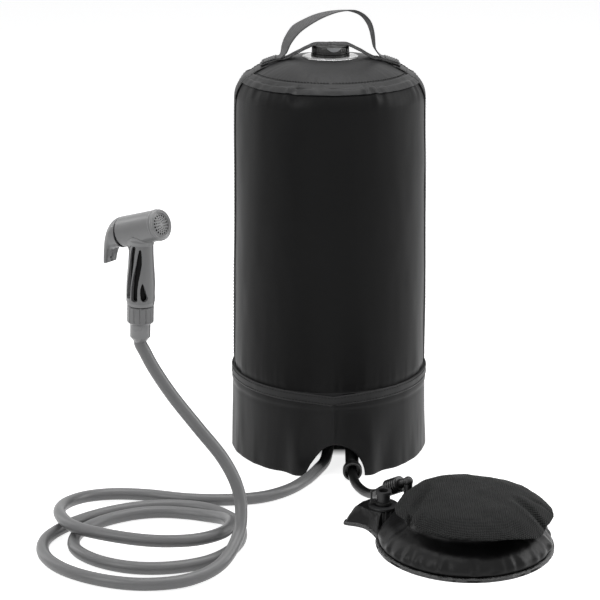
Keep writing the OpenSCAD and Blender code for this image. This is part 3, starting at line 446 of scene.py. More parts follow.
def bag_bulge(phi, z):
    """How far the filled wall stands off its plain outline, in millimetres"""
    x, y = np.sin(phi), np.cos(phi)
    d = folds(x, y, z, (0.55, 1.6, 95, 3), (0.28, 4, 42, 5), (0.16, 9, 30, 8))
    seam = bell(z - 95, 20) + 0.8 * bell(z - 418, 17)
    d = d + seam * folds(x, y, z, (0.5, 11, 60, 11), (0.25, 24, 80, 12))
    d = d - 0.9 * bell(z - 97, 4.5)
    for at, k in ((-0.477, 1.5), (0.477, 1.9), (1.05, 0.8), (-1.0, 0.7), (2.5, 1.4), (-2.3, 1.5)):
        d = d + k * bell((phi - at) * 100, 4.5) * bell(z - 413, 9)
        d = d - 0.5 * k * bell((phi - at - 0.09) * 100, 4) * bell(z - 416, 8)
    return d


# Wall: from the hem over the rounded shoulder to the seam of the top panel
z_wall = np.concatenate([np.linspace(86, 110, 16), np.linspace(113, 392, 84), np.linspace(394, 397, 2)])
t_bend = np.linspace(1.5, BEND_END, 34)
rr = np.concatenate([wall_r(z_wall), skin_rz(t_bend)[0]])
zz = np.concatenate([z_wall, skin_rz(t_bend)[1]])
tt = np.concatenate([np.zeros(len(z_wall)), t_bend])
PHIg, _ = np.meshgrid(PHI, zz)
d = bag_bulge(PHIg, zz[:, None])
d = d - 1.1 * bell(tt[:, None] - BEND_END, 3.0)
pts = lifted(rr[:, None], zz[:, None], tt[:, None], d, PHIg)
grid("bag_skin", pts, "tarp", wrap=True, slot="tarpaulin", replaces=["bag_wall"])

# Top panel, crowned, with soft ripples that start at its seam
t_top = np.linspace(BEND_END, CROWN_END, 40)
r_t, z_t = skin_rz(t_top)
r_t = np.concatenate([r_t, np.linspace(30, 17, 6)])
z_t = np.concatenate([z_t, np.full(6, CROWN_TOP)])
PHIg, R = np.meshgrid(PHI, r_t)
rip = smooth(R, 45, 82) * folds(np.sin(PHIg), np.cos(PHIg), R, (0.35, 6, 30, 21), (0.2, 22, 20, 22))
rip = rip + 0.35 * smooth(R, 30, 45) * noise(np.sin(PHIg) * R / 22, np.cos(PHIg) * R / 22, 1, 23)
rip = rip - 1.0 * bell(R - r_t[0], 2.6)
pts = around(R, z_t[:, None] + rip, PHIg)
grid("bag_top", pts, "tarp_top", wrap=True, slot="tarpaulin", replaces=["top_panel"])


def skin_patch(name, phi0, phi1, t0, t1, n, m, extra=None, z_foot=None, taper=1.0, replaces=()):
    """A strip of fabric lying on the bag, from the wall's height z_foot or turn t0 up to turn t1"""
    if z_foot is None:
        t = np.linspace(t0, t1, m)
        r, z = skin_rz(t)
    else:
        zw = np.linspace(z_foot, 396, m)
        tw = np.linspace(0, t1, m // 2)
        r = np.concatenate([wall_r(zw), skin_rz(tw)[0]])
        z = np.concatenate([zw, skin_rz(tw)[1]])
        t = np.concatenate([np.zeros(m), tw])
    phi = np.linspace(phi0, phi1, n)
    P, Z = np.meshgrid(phi, z)
    P = (phi0 + phi1) / 2 + (P - (phi0 + phi1) / 2) * (taper + (1 - taper) * smooth(Z, 385, 412))
    T = t[:, None] * np.ones(n)
    d = bag_bulge(P, Z) * (T <= BEND_END) - 1.0 * bell(T - BEND_END, 3) + 0.9
    if extra is not None:
        d = d + extra(P, Z, T)
    s = lengths(np.stack([r, z], -1))
    uv = np.stack([P * 105, s[:, None] * np.ones(n)], -1)
    pts = lifted(r[:, None], z[:, None], T, d, P)
    grid(name, pts, "strip", slot="strip", uv=uv, solid=0.8, replaces=replaces)


def band_shape(P, Z, T):
    """Puckers of the band where it goes round the shoulder"""
    x, y = np.sin(P), np.cos(P)
    d = 0.7 * noise(x * 13, y * 13, Z / 50, 31) * smooth(T, 40, 52)
    for at in (-0.477, 0.36, 0.477, 2.5, -2.3):
        d = d + 1.3 * bell((P - at) * 100, 3.5) * bell(T - 50, 8)
        d = d - 1.2 * bell((P - at - 0.06) * 100, 3) * bell(T - 50, 9)
    return d + 0.5


half = rad(90 - 14.5)
skin_patch("band_front", -half, half, 39, 60, 300, 30, extra=band_shape, replaces=["shoulder_band"])
skin_patch("band_back", math.pi - half, math.pi + half, 39, 60, 300, 30, extra=band_shape)
for side, name in SIDES:
    c = side * math.pi / 2
    skin_patch("side_strip_" + name, c - rad(14), c + rad(14), 0, 69, 40, 90, z_foot=97, taper=0.6,
               replaces=["side_strips"] if side < 0 else [])


def stitches(name, path, out, pitch=3.4, r=0.38):
    """A run of stitches lying along a path, each a short rounded dash; out holds the surface's normals"""
    path = np.asarray(path, float)
    s = lengths(path)
    parts = []
    for k in range(int(s[-1] / pitch)):
        a = (k + 0.12) * pitch
        u = np.linspace(a, a + pitch * 0.76, 5)
        p = np.stack([np.interp(u, s, path[:, i]) for i in range(3)], -1)
        o = np.stack([np.interp(u, s, out[:, i]) for i in range(3)], -1)
        p = p + o * (np.array([-0.25, 0.25, 0.38, 0.25, -0.25])[:, None])
        parts.append(tube_mesh(p, [r * 0.5, r, r, r, r * 0.5], 6))
    join(name, parts, "thread", slot="strip")


def on_skin(phi, t, lift):
    """Point and normal of the dressed skin at turn t, or on the wall where t is negative (a height in -t)"""
    t = np.asarray(t, float)
    wall = t < 0
    tt = np.where(wall, 0, t)
    r0, z0 = skin_rz(tt)
    r0, z0 = np.where(wall, wall_r(-t), r0), np.where(wall, -t, z0)
    d = bag_bulge(phi, z0) * (tt <= BEND_END) - 1.0 * bell(tt - BEND_END, 3) + lift
    return lifted(r0, z0, tt, d, phi), lifted(0, 0, tt, 1, phi)


ring = np.linspace(0, 2 * math.pi, 700)
p, n = on_skin(ring, np.full(700, 61.5), 0.35)
stitches("seam_stitches_top", p, n)
for side, name in SIDES:
    for e, row in ((-1, "a"), (1, "b")):
        t = np.concatenate([-np.linspace(100, 396, 150), np.linspace(0.5, 67, 70)])
        z_s = np.where(t < 0, -t, skin_rz(np.maximum(t, 0))[1])
        wide = 0.6 + 0.4 * smooth(z_s, 385, 412)
        p, n = on_skin(side * math.pi / 2 + e * rad(12.8) * wide, t, 1.35)
        stitches("strip_stitches_%s_%s" % (name, row), p, n, pitch=3.8, r=0.18)
        p, n = on_skin(side * math.pi / 2 + e * rad(14.1) * wide[150:], t[150:], 1.0)
        v, f = tube_mesh(p, 0.55, 8)
        piece("strip_welt_%s_%s" % (name, row), v, f, "thread", slot="strip")

# Skirt with its arch, flaring a little beside the hoses
SKIRT_R, ARCH_X, ARCH_HALF, ARCH_H = 108.5, 3.5, 33, 36.5
phi = np.linspace(-math.pi, math.pi, 1081)
dx = (SKIRT_R * np.sin(phi) - ARCH_X) / ARCH_HALF
arch = np.where(dx < 0, np.interp(dx, (-0.93, -0.75, -0.57, -0.4, -0.2, 0), (0, 13, 22, 29.5, 34.5, ARCH_H)),
                ARCH_H * np.sqrt(np.maximum(0, 1 - np.minimum(np.abs(dx), 1) ** 2)))
arch = np.where((np.abs(dx) < 1) & (np.cos(phi) > 0), arch, 0)
rows = 44
v = np.linspace(0, 1, rows)
Z = arch[None, :] * (1 - v[:, None]) + FOOT_Z * v[:, None]
P = phi[None, :] * np.ones((rows, 1))
base_r = 109 - 1.9 * Z / FOOT_Z + 0.35
x, y = np.sin(P), np.cos(P)
low = smooth(Z, 75, 5)
D = folds(x, y, Z, (0.6, 3, 45, 41), (0.3 + 0.35 * low, 8, 45, 42))
D = D + 0.14 * noise(x * 20, y * 20, Z / 30, 43) * (0.3 + low)
D = D + 0.8 * bell(Z - 80, 3.2) - 0.5 * bell(Z - 75.5, 2.6)
edge_l = SKIRT_R * (P - math.asin((ARCH_X - ARCH_HALF) / SKIRT_R))
edge_r = SKIRT_R * (P - math.asin((ARCH_X + ARCH_HALF) / SKIRT_R))
D = D + low * (3.2 * bell(edge_l + 6, 9) - 1.6 * bell(edge_l + 22, 9) + 4.5 * bell(edge_r - 7, 11)
               - 1.2 * bell(edge_r - 27, 10) + 0.7 * bell(edge_r - 42, 9))
D = D - 0.9 * bell(Z - FOOT_Z, 4) + 1.1 * bell(SKIRT_R * P - 4, 2.2) * smooth(Z, 30, 60) * bell(Z - 66, 26)
pts = around(base_r + D, Z + 0.12, P)
uv = np.stack([P * 108, Z], -1)
grid("skirt", pts, "skirt", uv=uv, slot="tarpaulin", solid=1.5, replaces=["base_skirt"])

HEM_Z = 84.5


def hem_dip(phi):
    """How far the hem dips, in a shallow V at the front"""
    return 5.5 * np.exp(-np.abs(phi * 108 - 3) / 22)


# Hem band over the lower seam
P = PHI[None, :] * np.ones((10, 1))
u = np.linspace(0, 1, 10)[:, None]
Z = HEM_Z + 11 * u - hem_dip(P) * 0.75
D = 0.3 + 0.6 * np.sin(math.pi * u) ** 0.6 + 0.3 * noise(np.sin(P) * 14, np.cos(P) * 14, u * 2, 51)
pts = around(np.maximum(wall_r(Z), 108.0) + D, Z, P)
grid("hem_band", pts, "strip", wrap=True, slot="strip", replaces=["skirt_hem"], solid=0.6)
ang = np.linspace(-math.pi, math.pi, 900)
for off, nm in ((2.2, "lower"), (9.0, "upper")):
    p = around(np.full(900, 108.8), HEM_Z + off - hem_dip(ang) * 0.75, ang)
    n = around(np.full(900, 1.0), np.zeros(900), ang)
    stitches("hem_stitches_" + nm, p, n, pitch=3.6)


# Straps
def strap(name, path, width, thick, twist=None, **kw):
    """Webbing along a path in the XZ plane; twist turns its width about the path, in degrees"""
    c = catmull(path, 7)
    n = len(c)
    k = np.linspace(0, 1, n)
    tw = np.radians(np.interp(k, *twist)) if twist else np.zeros(n)
    wob = 0.35 * noise(k * 14, 0.0, 0.0, 61)
    t = np.gradient(c, axis=0)
    t /= np.linalg.norm(t, axis=1)[:, None]
    w0 = np.tile((0.0, 1.0, 0.0), (n, 1))
    w0 -= t * np.sum(w0 * t, 1)[:, None]
    w0 /= np.linalg.norm(w0, axis=1)[:, None]
    up = np.cross(w0, t)
    w = np.cos(tw)[:, None] * w0 + np.sin(tw)[:, None] * up
    up = np.cross(w, t)
    s = lengths(c)
    cols = np.linspace(-1, 1, 13)
    h = thick / 2
    ring = [(q * width / 2, h * (1 - 0.5 * abs(q) ** 6)) for q in cols]
    ring += [(q * width / 2, -h * (1 - 0.5 * abs(q) ** 6)) for q in cols[::-1]]
    ring = np.array(ring)
    edge = 1 + 0.25 * (np.abs(ring[:, 0]) > width * 0.45)
    pts = (c[:, None] + ring[None, :, 0, None] * w[:, None]
           + (ring[:, 1] * edge)[None, :, None] * up[:, None] + (wob[:, None, None] * up[:, None]) * 0.6)
    uv = np.stack([ring[None, :, 0] + 0 * s[:, None] + 100, s[:, None] + 0 * ring[None, :, 0]], -1)
    m = len(ring)
    faces = grid_faces(n, m, wrap=True) + [tuple(range(m - 1, -1, -1)), tuple(range((n - 1) * m, n * m))]
    return piece(name, pts.reshape(-1, 3), faces, "webbing", uv=uv.reshape(-1, 2), slot="webbing", **kw)


def over_crown(t, lift, side=1, y=0.0):
    """Point above the crown at turn t, towards +X or, where side is -1, towards -X"""
    r, z = skin_rz(t, lift)
    return side * float(r), y, float(z)


TAIL = (66.8, 70, 73.5, 76.5)
loop = [(-49.5, -1, 447), (-45.5, -2, 456.5), (-37.7, -3, 467.5), (-27, -3, 475), (-12, -2, 482.6),
        (3, -1, 487), (17, 0, 488.4), (27, 1, 487), (35, 1, 482.6), (41, 1, 475), (44.2, 0, 466),
        (45.8, 0, 456), (47.4, 0, 448)]
run = [over_crown(t, 3.9, -1) for t in TAIL] + loop + [over_crown(t, 3.9) for t in TAIL[::-1]]
strap("carry_loop", run, 20, 1.5,
      twist=((0, 0.14, 0.2, 0.3, 0.38, 0.46, 0.54, 0.64, 0.78, 0.88, 1),
             (0, 0, -20, -26, -14, 2, 14, 16, 6, 0, 0)),
      replaces=["carry_handle"])
for side, nm in SIDES:
    # Folded patch that the loop is sewn into
    p = [over_crown(t, 2.3, side) for t in (65.6, 68, 70.4, 72.8, 75.2, 77)]
    strap("anchor_" + nm, p, 21.5, 1.7, replaces=["handle_anchors"] if side < 0 else [])
    runs = {"stitch_%s_%d" % (nm, y > 0): [(t, y) for t in np.linspace(67.5, 75, 30)] for y in (-8.2, 8.2)}
    runs.update({"bar_%s_%d" % (nm, t > 70): [(t, y) for y in np.linspace(-8, 8, 24)] for t in (68, 74.5)})
    for what, run in runs.items():
        q = np.array([over_crown(t, 4.55, side, y) for t, y in run])
        stitches("anchor_" + what, q, np.tile((side * 0.34, 0, 0.94), (len(q), 1)), pitch=2.6, r=0.2)

for side, nm in SIDES:
    run = [over_crown(t, 1.3, side) for t in (75, 78, 80.5)]
    run += [(side * x, 0, z) for x, z in ((33, 445.5), (24, 450), (17, 452.8), (8, 453.1), (-0.3, 453.1))]
    keeper = strap("keeper_" + nm, run, 20, 1.5, body=None, replaces=["keeper_strap"] if side < 0 else [])
    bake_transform(keeper)


# Filler
def wobble(r, z, a):
    """Uneven edge of the welded flange"""
    return r + 0.5 * noise(np.cos(a) * 3, np.sin(a) * 3, z / 3, 71) * (r > 25)


v, f = lathe([(16.8, 439.3), (16.8, 440.5), (22, 440.7), (28, 440.5), (29.5, 440.0), (29.8, 439.5),
              (29.2, 439.25)], 120, wave=wobble)
piece("weld_flange", v, f, "clear", slot="clear_pvc", replaces=["filler_flange"])


def ribs(r, z, a):
    """Grip ribs round the side of the cap"""
    side = (r > 19.5) & (z < 450.2)
    return r + np.where(side, 0.16 * np.sign(np.sin(a * 36)) * np.abs(np.sin(a * 36)) ** 0.5 - 0.1, 0)


v, f = lathe([(17.7, 449.5), (17.7, 443.7), (19.7, 443.6), (20, 443.9), (20, 444.2), (18.9, 444.25),
              (18.9, 445.95), (20, 446), (20, 446.3), (20.0, 449.6), (19.8, 450.3), (19.2, 451.0),
              (18.2, 451.3), (16.6, 451.35), (16.2, 451.0), (15.8, 450.6), (6, 450.5), (0.01, 450.5)],
             216, wave=ribs)
piece("screw_cap", v, f, "cap", body="cap", slot="cap_black", replaces=["filler_cap"])

# Handset
PLACE = (Matrix.Translation((-188.5, -250, 203)) @ Matrix.Rotation(rad(-35), 4, "Z")
         @ Matrix.Rotation(rad(2.9), 4, "Y"))
HEAD = PLACE @ Matrix.Translation((0, 0, 114.5)) @ Matrix.Rotation(rad(-20), 4, "Y")
SPRAY = HEAD @ Matrix.Rotation(rad(90), 4, "Y")

# Lever: one smooth channel, as wide as the head at its hinge and narrow at the paddle
L_OUT = catmull([(-25.8, 0, 121.1), (-29.6, 0, 119.3), (-32.6, 0, 116.2), (-35.3, 0, 111), (-38, 0, 102),
                 (-39.8, 0, 92), (-41, 0, 82), (-41.4, 0, 72.6)], 10)
L_IN = catmull([(-19.7, 0, 91.6), (-22.5, 0, 91.6), (-26, 0, 91.2), (-29.6, 0, 90.2), (-32.8, 0, 87.6),
                (-34.8, 0, 83.6), (-36.2, 0, 79), (-36.9, 0, 73.4)], 10)
k = np.linspace(0, 1, len(L_OUT))
at = np.linspace(0, 1, 8)
half_w = np.interp(k, at, (14.9, 14.8, 14.4, 13.4, 11.8, 10.2, 9.0, 8.2))
power = np.interp(k, at, (2, 2, 2.1, 2.3, 2.7, 3.2, 3.6, 4.0))
wall = np.interp(k, at, (1.3, 1.3, 1.3, 1.4, 1.5, 1.5, 1.5, 1.5))
COLUMNS = 90
psi = np.linspace(rad(0.01), rad(359.99), COLUMNS)
rows = []
for i in range(len(k)):
    o, q = L_OUT[i], L_IN[i]
    d = (q - o) / np.linalg.norm(q - o)
    length = np.linalg.norm(q - o)
    layer = []
    for inset in (0.0, wall[i]):
        ca, sa = np.cos(psi), np.sin(psi)
        e = 2 / power[i]
        along = length / 2 + (length / 2 - inset) * np.sign(ca) * np.abs(ca) ** e
        across = (half_w[i] - inset) * np.sign(sa) * np.abs(sa) ** e
        layer.append(o + along[:, None] * d + np.stack([0 * across, across, 0 * across], -1))
    rows.append(np.concatenate([layer[0], layer[1][::-1]]))
lever_faces = grid_faces(len(k), 2 * COLUMNS, wrap=True)
foot = (len(k) - 1) * 2 * COLUMNS
for base, turn in ((0, True), (foot, False)):
    for j in range(COLUMNS - 1):
        q = (base + j, base + j + 1, base + 2 * COLUMNS - 2 - j, base + 2 * COLUMNS - 1 - j)
        lever_faces.append(q[::-1] if turn else q)
lever_faces.append(tuple(reversed(range(foot, foot + COLUMNS))))
piece("lever_skin", placed(PLACE, np.concatenate(rows)), lever_faces, "abs", body="lever_body",
      slot="handset_grey", replaces=["lever"])

# Dark disc where the lever has a dimple: painted shade of the dimple
v, f = lathe([(1.15, -0.4), (1.15, 0.12), (0.9, 0.2), (0.01, 0.2)], 24,
             matrix=PLACE @ Matrix.Translation((-36.4, -2.2, 78.6)) @ Matrix.Rotation(rad(97), 4, "Y"))
piece("lever_dimple_shade", v, f, "rubber", body="lever_body", slot="handset_grey")

# Grip: waisted sleeve with three curved slots on each side. A slot is its heights and its two edges
# there, in degrees from the side that faces the camera
CAM_SIDE = -49.6
SLOTS = [
    ((99.0, 91.3, 83.1, 72.8, 62.6, 52.3, 45.6), (-46, -56.4, -60.1, -62.3, -66.7, -70.2, -72.8),
     (-28.4, -33.8, -36.4, -39.9, -44.7, -47.3, -50.2)),
    ((96.5, 89.3, 81.1, 72.8, 64.6, 56.4, 48.2, 43.8), (-10.6, -16.9, -22.8, -30.3, -36.3, -39.2, -40.1, -38),
     (-1.8, 1.4, 1.3, -4.8, -11.5, -15.3, -15.5, -14.8)),
    ((63.5, 60.5, 57.4, 52.3, 47.1, 44.3), (5.0, 1.0, -1.7, -1.7, 1.7, 6.5), (6.5, 11.5, 15.3, 22, 29.3, 21)),
]


def grip_radius(z):
    u = (z - 42) / 61
    return 13.9 - 2.0 * u + 0.5 * np.sin(np.radians(360 * u * 0.9)) + 0.05


def head_foot(x, y):
    """Height at which the head's underside lies over a point of the handset's frame"""
    t = -np.sqrt(np.maximum(0.01, 15.0 ** 2 - y * y))
    return 114.5 + (t + 0.3420 * x) / 0.9397


z_g = np.concatenate([[42.0, 42.3], np.linspace(42.8, 106, 170)])
a_g = np.linspace(-180, 180, 481)[:-1]
edges = []
for zz_s, lo_s, hi_s in SLOTS:
    zz_s = np.array(zz_s)
    o = np.argsort(zz_s)
    cap_end = np.minimum(1, np.minimum((z_g - zz_s.min()), (zz_s.max() - z_g)) / 1.6)
    cap_end = np.sqrt(np.clip(1 - (1 - np.clip(cap_end, 0, 1)) ** 2, 0, 1))
    a_lo, a_hi = np.interp(z_g, zz_s[o], np.array(lo_s)[o]), np.interp(z_g, zz_s[o], np.array(hi_s)[o])
    mid, hw = (a_lo + a_hi) / 2, (a_hi - a_lo) / 2 * 1.12 * cap_end
    inside_z = (z_g > zz_s.min()) & (z_g < zz_s.max())
    edges.append((CAM_SIDE + mid - hw, CAM_SIDE + mid + hw, inside_z))
AG = np.tile(a_g, (len(z_g), 1))
hole = np.zeros(AG.shape, bool)
for lo_e, hi_e, ok in edges:
    for sgn in (1, -1):
        l, h = (lo_e, hi_e) if sgn > 0 else (-hi_e, -lo_e)
        for i in np.where(ok)[0]:
            if h[i] - l[i] < 1.2:
                continue
            il, ih = np.abs(a_g - l[i]).argmin(), np.abs(a_g - h[i]).argmin()
            if ih <= il:
                continue
            AG[i, il], AG[i, ih] = l[i], h[i]
            hole[i, il:ih] = True
ca, sa = np.cos(np.radians(AG)), np.sin(np.radians(AG))
ZG = np.minimum(z_g[:, None] * np.ones(len(a_g)), head_foot(12.2 * ca, 12.2 * sa) + 0.4)
RG = grip_radius(np.minimum(ZG, 103))
GP = np.stack([RG * ca, RG * sa, ZG], -1)
GI = np.stack([10.4 * ca, 10.4 * sa, ZG], -1)
nz, na = AG.shape
faces_g = []
for i in range(nz - 1):
    for j in range(na):
        j2 = (j + 1) % na
        if hole[i, j] and hole[i + 1, j]:
            continue
        if ZG[i + 1, j] - ZG[i, j] < 1e-6 and ZG[i + 1, j2] - ZG[i, j2] < 1e-6:
            continue
        q = (i * na + j, i * na + j2, (i + 1) * na + j2, (i + 1) * na + j)
        faces_g.append(q)
        faces_g.append(tuple(v + nz * na for v in reversed(q)))
borders = dict.fromkeys(e for q in faces_g if q[0] < nz * na for e in zip(q, q[1:] + q[:1]))
borders = [(p, q) for p, q in borders if (q, p) not in borders]
faces_g += [(q, p, p + nz * na, q + nz * na) for p, q in borders]
sleeve = np.concatenate([GP.reshape(-1, 3), GI.reshape(-1, 3)])
grip = piece("grip_skin", placed(PLACE, sleeve), faces_g, "abs", slot="handset_grey", replaces=["grip_shell"])
sharp = {tuple(sorted(e)) for e in borders}
for e in grip.data.edges:
    q = tuple(sorted(e.vertices))
    if q in sharp or (q[0] >= nz * na and (q[0] - nz * na, q[1] - nz * na) in sharp):
        e.use_edge_sharp = True

# Cradle: the flared rim in which the head lies
a = np.radians(np.linspace(0, 360, 181)[:-1])
rows = []
for u in np.linspace(0, 1, 12):
    r = 12.15 + 1.9 * u ** 1.7
    top = head_foot(r * np.cos(a), r * np.sin(a)) - 0.15
    foot = np.minimum(head_foot(12.2 * np.cos(a), 12.2 * np.sin(a)) - 4.2, 99.5)
    z = foot + (top - foot) * u
    rows.append(np.stack([r * np.cos(a), r * np.sin(a), z], -1))
for r_in in (12.9, 11.9):
    top = head_foot(r_in * np.cos(a), r_in * np.sin(a)) - 0.15
    rows.append(np.stack([r_in * np.cos(a), r_in * np.sin(a), top], -1))
pts = np.array(rows)
grid("head_cradle", placed(PLACE, pts), "abs_light", wrap=True, slot="handset_light")

# Front of the head: bead, rim, bezel and the domed face with its jets
v, f = lathe([(14.95, 21.0), (15.25, 21.15), (15.35, 21.5), (15.25, 21.85), (14.95, 22.0)], 120, matrix=SPRAY)
piece("head_bead", v, f, "abs_light", slot="handset_light")
v, f = lathe([(12.9, 20.0), (12.9, 23.2), (14.96, 23.3), (14.98, 24.2), (14.7, 25.0), (14.2, 25.6),
              (13.7, 25.75), (13.1, 25.5), (12.7, 25.05), (12.4, 24.95), (12.1, 25.1), (11.9, 25.45),
              (11.6, 25.6), (11.3, 25.45), (11.15, 24.9), (11.1, 20.0)], 144, matrix=SPRAY)
piece("face_rim", v, f, "abs_light", slot="handset_light", replaces=["face_ring"])
DOME = ((0, 3, 6, 9, 10.9), (25.95, 25.87, 25.6, 25.15, 24.72))


def annulus(r0, r1, jets=0):
    """(verts, faces) of a ring of the domed face; with jets, holes half as wide as their pitch stay open"""
    n = 10 * jets or 140
    t = np.arange(n) * 2 * math.pi / n
    v = [np.stack([r * np.cos(t), r * np.sin(t), np.full(n, np.interp(r, *DOME))], -1) for r in (r0, r1)]
    faces = grid_faces(2, n, wrap=True)
    return placed(SPRAY, np.concatenate(v)), [q for i, q in enumerate(faces) if not jets or i % 10 < 5]


plate, reached = [], 0.01
for jets, r0, r1 in ((6, 2.2, 3.0), (10, 4.1, 5.0), (14, 6.0, 6.9), (18, 7.9, 9.7)):
    plate += [annulus(reached, r0), annulus(r0, r1, jets)]
    reached = r1
v, f = lathe([(11.12, 20.5), (11.12, 24.5), (10.9, 24.72)], 140, matrix=SPRAY)
join("face_plate", plate + [annulus(reached, 10.9), (v, f)], "abs", slot="handset_light",
     replaces=["spray_face"])
# Near-black disc behind the face, seen through the jet holes: painted shade inside the holes
v, f = lathe([(10.9, 23.6), (0.01, 24.3)], 60, matrix=SPRAY)
piece("jet_hole_shade", v, f, "core", slot="handset_light")

# Pump
CX, CY, BASE_R = 131.0, -278.0, 89
VALVE_AT, SPIGOT_AT = (-79, 46), (-53.5, 55.7)


def turn_from(a, at):
    """Angle from the direction of a point to a, between -pi and pi"""
    return (a - math.atan2(at[1], at[0]) + math.pi) % (2 * math.pi) - math.pi


# Lower skin: bellows of coated fabric, creased round its side
prof = catmull([(82, 0, 2.6), (86.0, 0, 4.4), (87.0, 0, 8), (85.5, 0, 12.5), (81.5, 0, 17), (76, 0, 21),
                (69, 0, 24.5), (63, 0, 28.5), (60, 0, 33), (57, 0, 36.6), (50, 0, 37.4)], 6)
a = circle(420)
A, R = np.meshgrid(a, prof[:, 0])
Zp = prof[:, 2][:, None] * np.ones(len(a))
x, y = np.cos(A), np.sin(A)
fold = folds(x, y, Zp, (2.0, 4, 60, 84), (0.5, 14, 26, 85))
pleat = np.sin(A * 33 + 3.2 * noise(x * 3.5, y * 3.5, 0, 88)) * (0.6 + 0.6 * noise(x * 6, y * 6, 0, 89))
fold = fold + 2.3 * pleat * bell(Zp - 8, 9)
fold = fold * smooth(Zp, 3.2, 9) * smooth(Zp, 37.5, 33)
ridge = 0.5 * np.sin(Zp / 2.6 + 2.2 * noise(x * 5, y * 5, 0, 86)) * bell(Zp - 20, 9)
# Held in beside the intake valve and the spigot
near = np.exp(-(turn_from(A, VALVE_AT) * 85 / 24) ** 2)
near2 = np.exp(-(turn_from(A, SPIGOT_AT) * 80 / 9) ** 2)
Rr = np.minimum(R + fold * 0.8 + ridge - 1.0, 88.2)
Rr = Rr - near * np.clip(Rr - 75, 0, 20) - near2 * np.clip(Rr - 70, 0, 20)
pts = np.stack([CX + Rr * x, CY + Rr * y, Zp + fold * 0.25 * smooth(Zp, 5, 12) * smooth(Zp, 37, 30)], -1)
bellows = grid("pump_skin", pts, "pump", wrap=True, slot="pump_skin", replaces=["pump_shell"])

# Welded edge that lies on the floor
WING = [(-87.5, 10), (-93, 24), (-98, 33), (-107, 39), (-118.6, 43.5), (-118.2, 51), (-108, 64), (-95, 75),
        (-78, 80), (-60, 77), (-48, 75)]


def outline(grow, n):
    """Outline of the welded base with the wing that carries the valve, as points round the pump"""
    w = catmull([(a, b, 0) for a, b in WING], 8)[:, :2]
    out = np.gradient(w, axis=0)
    out = np.stack([-out[:, 1], out[:, 0]], -1) / np.linalg.norm(out, axis=1)[:, None]
    out *= np.sign(np.sum(out * (w - (-80, 40)), 1))[:, None]
    w = w + out * min(grow, 0) * 0.8
    t0 = math.atan2(w[-1][1], w[-1][0])
    t1 = math.atan2(w[0][1], w[0][0]) + (0 if w[0][1] < 0 else -2 * math.pi)
    r = BASE_R + grow
    big = [(math.cos(t) * r, math.sin(t) * r) for t in np.linspace(t0 - 0.04, t1 + 0.04, 220)]
    p = np.vstack([w, big])
    q = np.vstack([p, p[:1]])
    s = np.concatenate([[0], np.cumsum(np.hypot(*np.diff(q, axis=0).T))])
    u = np.linspace(0, s[-1], n, endpoint=False)
    return np.stack([np.interp(u, s, q[:, 0]), np.interp(u, s, q[:, 1])], -1)


N_OUT = 420
o_out, o_in = outline(-0.2, N_OUT), outline(-8.0, N_OUT)
rows = []
for u, z in ((0, 0.15), (0.0, 1.6), (0.12, 2.9), (0.35, 3.6), (0.65, 3.5), (0.85, 3.0), (1.0, 2.3)):
    p = o_out * (1 - u) + o_in * u
    w = dents(*p.T, (0.8, 13, 91), (0.4, 6, 92))
    pull = p / np.linalg.norm(p, axis=1)[:, None] * np.abs((1 - u) * w)[:, None] * 0.8
    rows.append(np.stack([*((CX, CY) + p - pull).T, np.full(N_OUT, z) + (w * 0.35 if z > 1 else 0)], -1))
grid("welded_edge", np.array(rows), "edge", wrap=True, slot="pump_skin", replaces=["pump_rim"])
o_mid = outline(-0.6, N_OUT)
top_f = np.stack([CX + o_mid[:, 0], CY + o_mid[:, 1], np.full(N_OUT, 1.9)], -1)
low_f = top_f * (1, 1, 0) + (0, 0, 0.02)
base_faces = grid_faces(2, N_OUT, wrap=True) + [tuple(range(N_OUT, 2 * N_OUT)), tuple(reversed(range(N_OUT)))]
piece("pump_floor", np.concatenate([low_f, top_f]), base_faces, "inside", slot="pump_skin",
      replaces=["pump_base"], shade=False)

# Lobe: skin of the wing, rising to the valve's flange
LX, LY = -83.0, 48.0
a = circle(260)
pr = catmull([(33.5, 0, 2.6), (32.2, 0, 5.5), (29, 0, 11.5), (24, 0, 17), (19, 0, 19.8), (12, 0, 20.3),
              (0.01, 0, 20.3)], 5)
A, R = np.meshgrid(a, pr[:, 0])
Zl = pr[:, 2][:, None] * np.ones(len(a))
w = folds(np.cos(A), np.sin(A), R, (1.2, 4, 9, 95), (0.7, 9, 7, 96))
w = w * smooth(R, 16, 24) * smooth(Zl, 2.4, 7)
o_dense = outline(-3.0, 1500) - (LX, LY)
o_ang = np.arctan2(o_dense[:, 1], o_dense[:, 0]) % (2 * math.pi)
o_len = np.hypot(o_dense[:, 0], o_dense[:, 1])
order = np.argsort(o_ang)
room = np.minimum(33.5, np.interp(a, o_ang[order], o_len[order], period=2 * math.pi)) / 33.5
shrink = 1 - (1 - room[None, :]) * smooth(R, 14, 30)
X = LX + (R + w * room[None, :]) * shrink * np.cos(A)
Y = LY + (R + w * room[None, :]) * shrink * np.sin(A)
from_c = np.hypot(X, Y)
inside = (from_c < 86.4) & (np.hypot(X - VALVE_AT[0], Y - VALVE_AT[1]) > 15.2)
Zl = np.where(inside, np.minimum(Zl, 3.0 + 0.35 * np.maximum(0, from_c - 76)), Zl + 0.3 * w)
pts = np.stack([CX + X, CY + Y, Zl], -1)
grid("lobe_skin", pts, "pump", wrap=True, slot="pump_skin", replaces=["pump_lobe"])

# Foam spring inside the bellows
v, f = lathe([(0.01, 2.5), (56, 2.5), (57.5, 4.5), (58.2, 12), (58.2, 24), (57.5, 33.5), (55, 35.4),
              (0.01, 35.4)], 120, matrix=Matrix.Translation((CX, CY, 0)),
             wave=lambda r, z, a: r + (r > 50) * 0.5 * noise(np.cos(a) * 9, np.sin(a) * 9, z / 8, 121))
foam = piece("foam_pad", v, f, "foam", slot="foam", replaces=["pump_foam"])
for soft in (bellows, foam):
    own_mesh(soft)

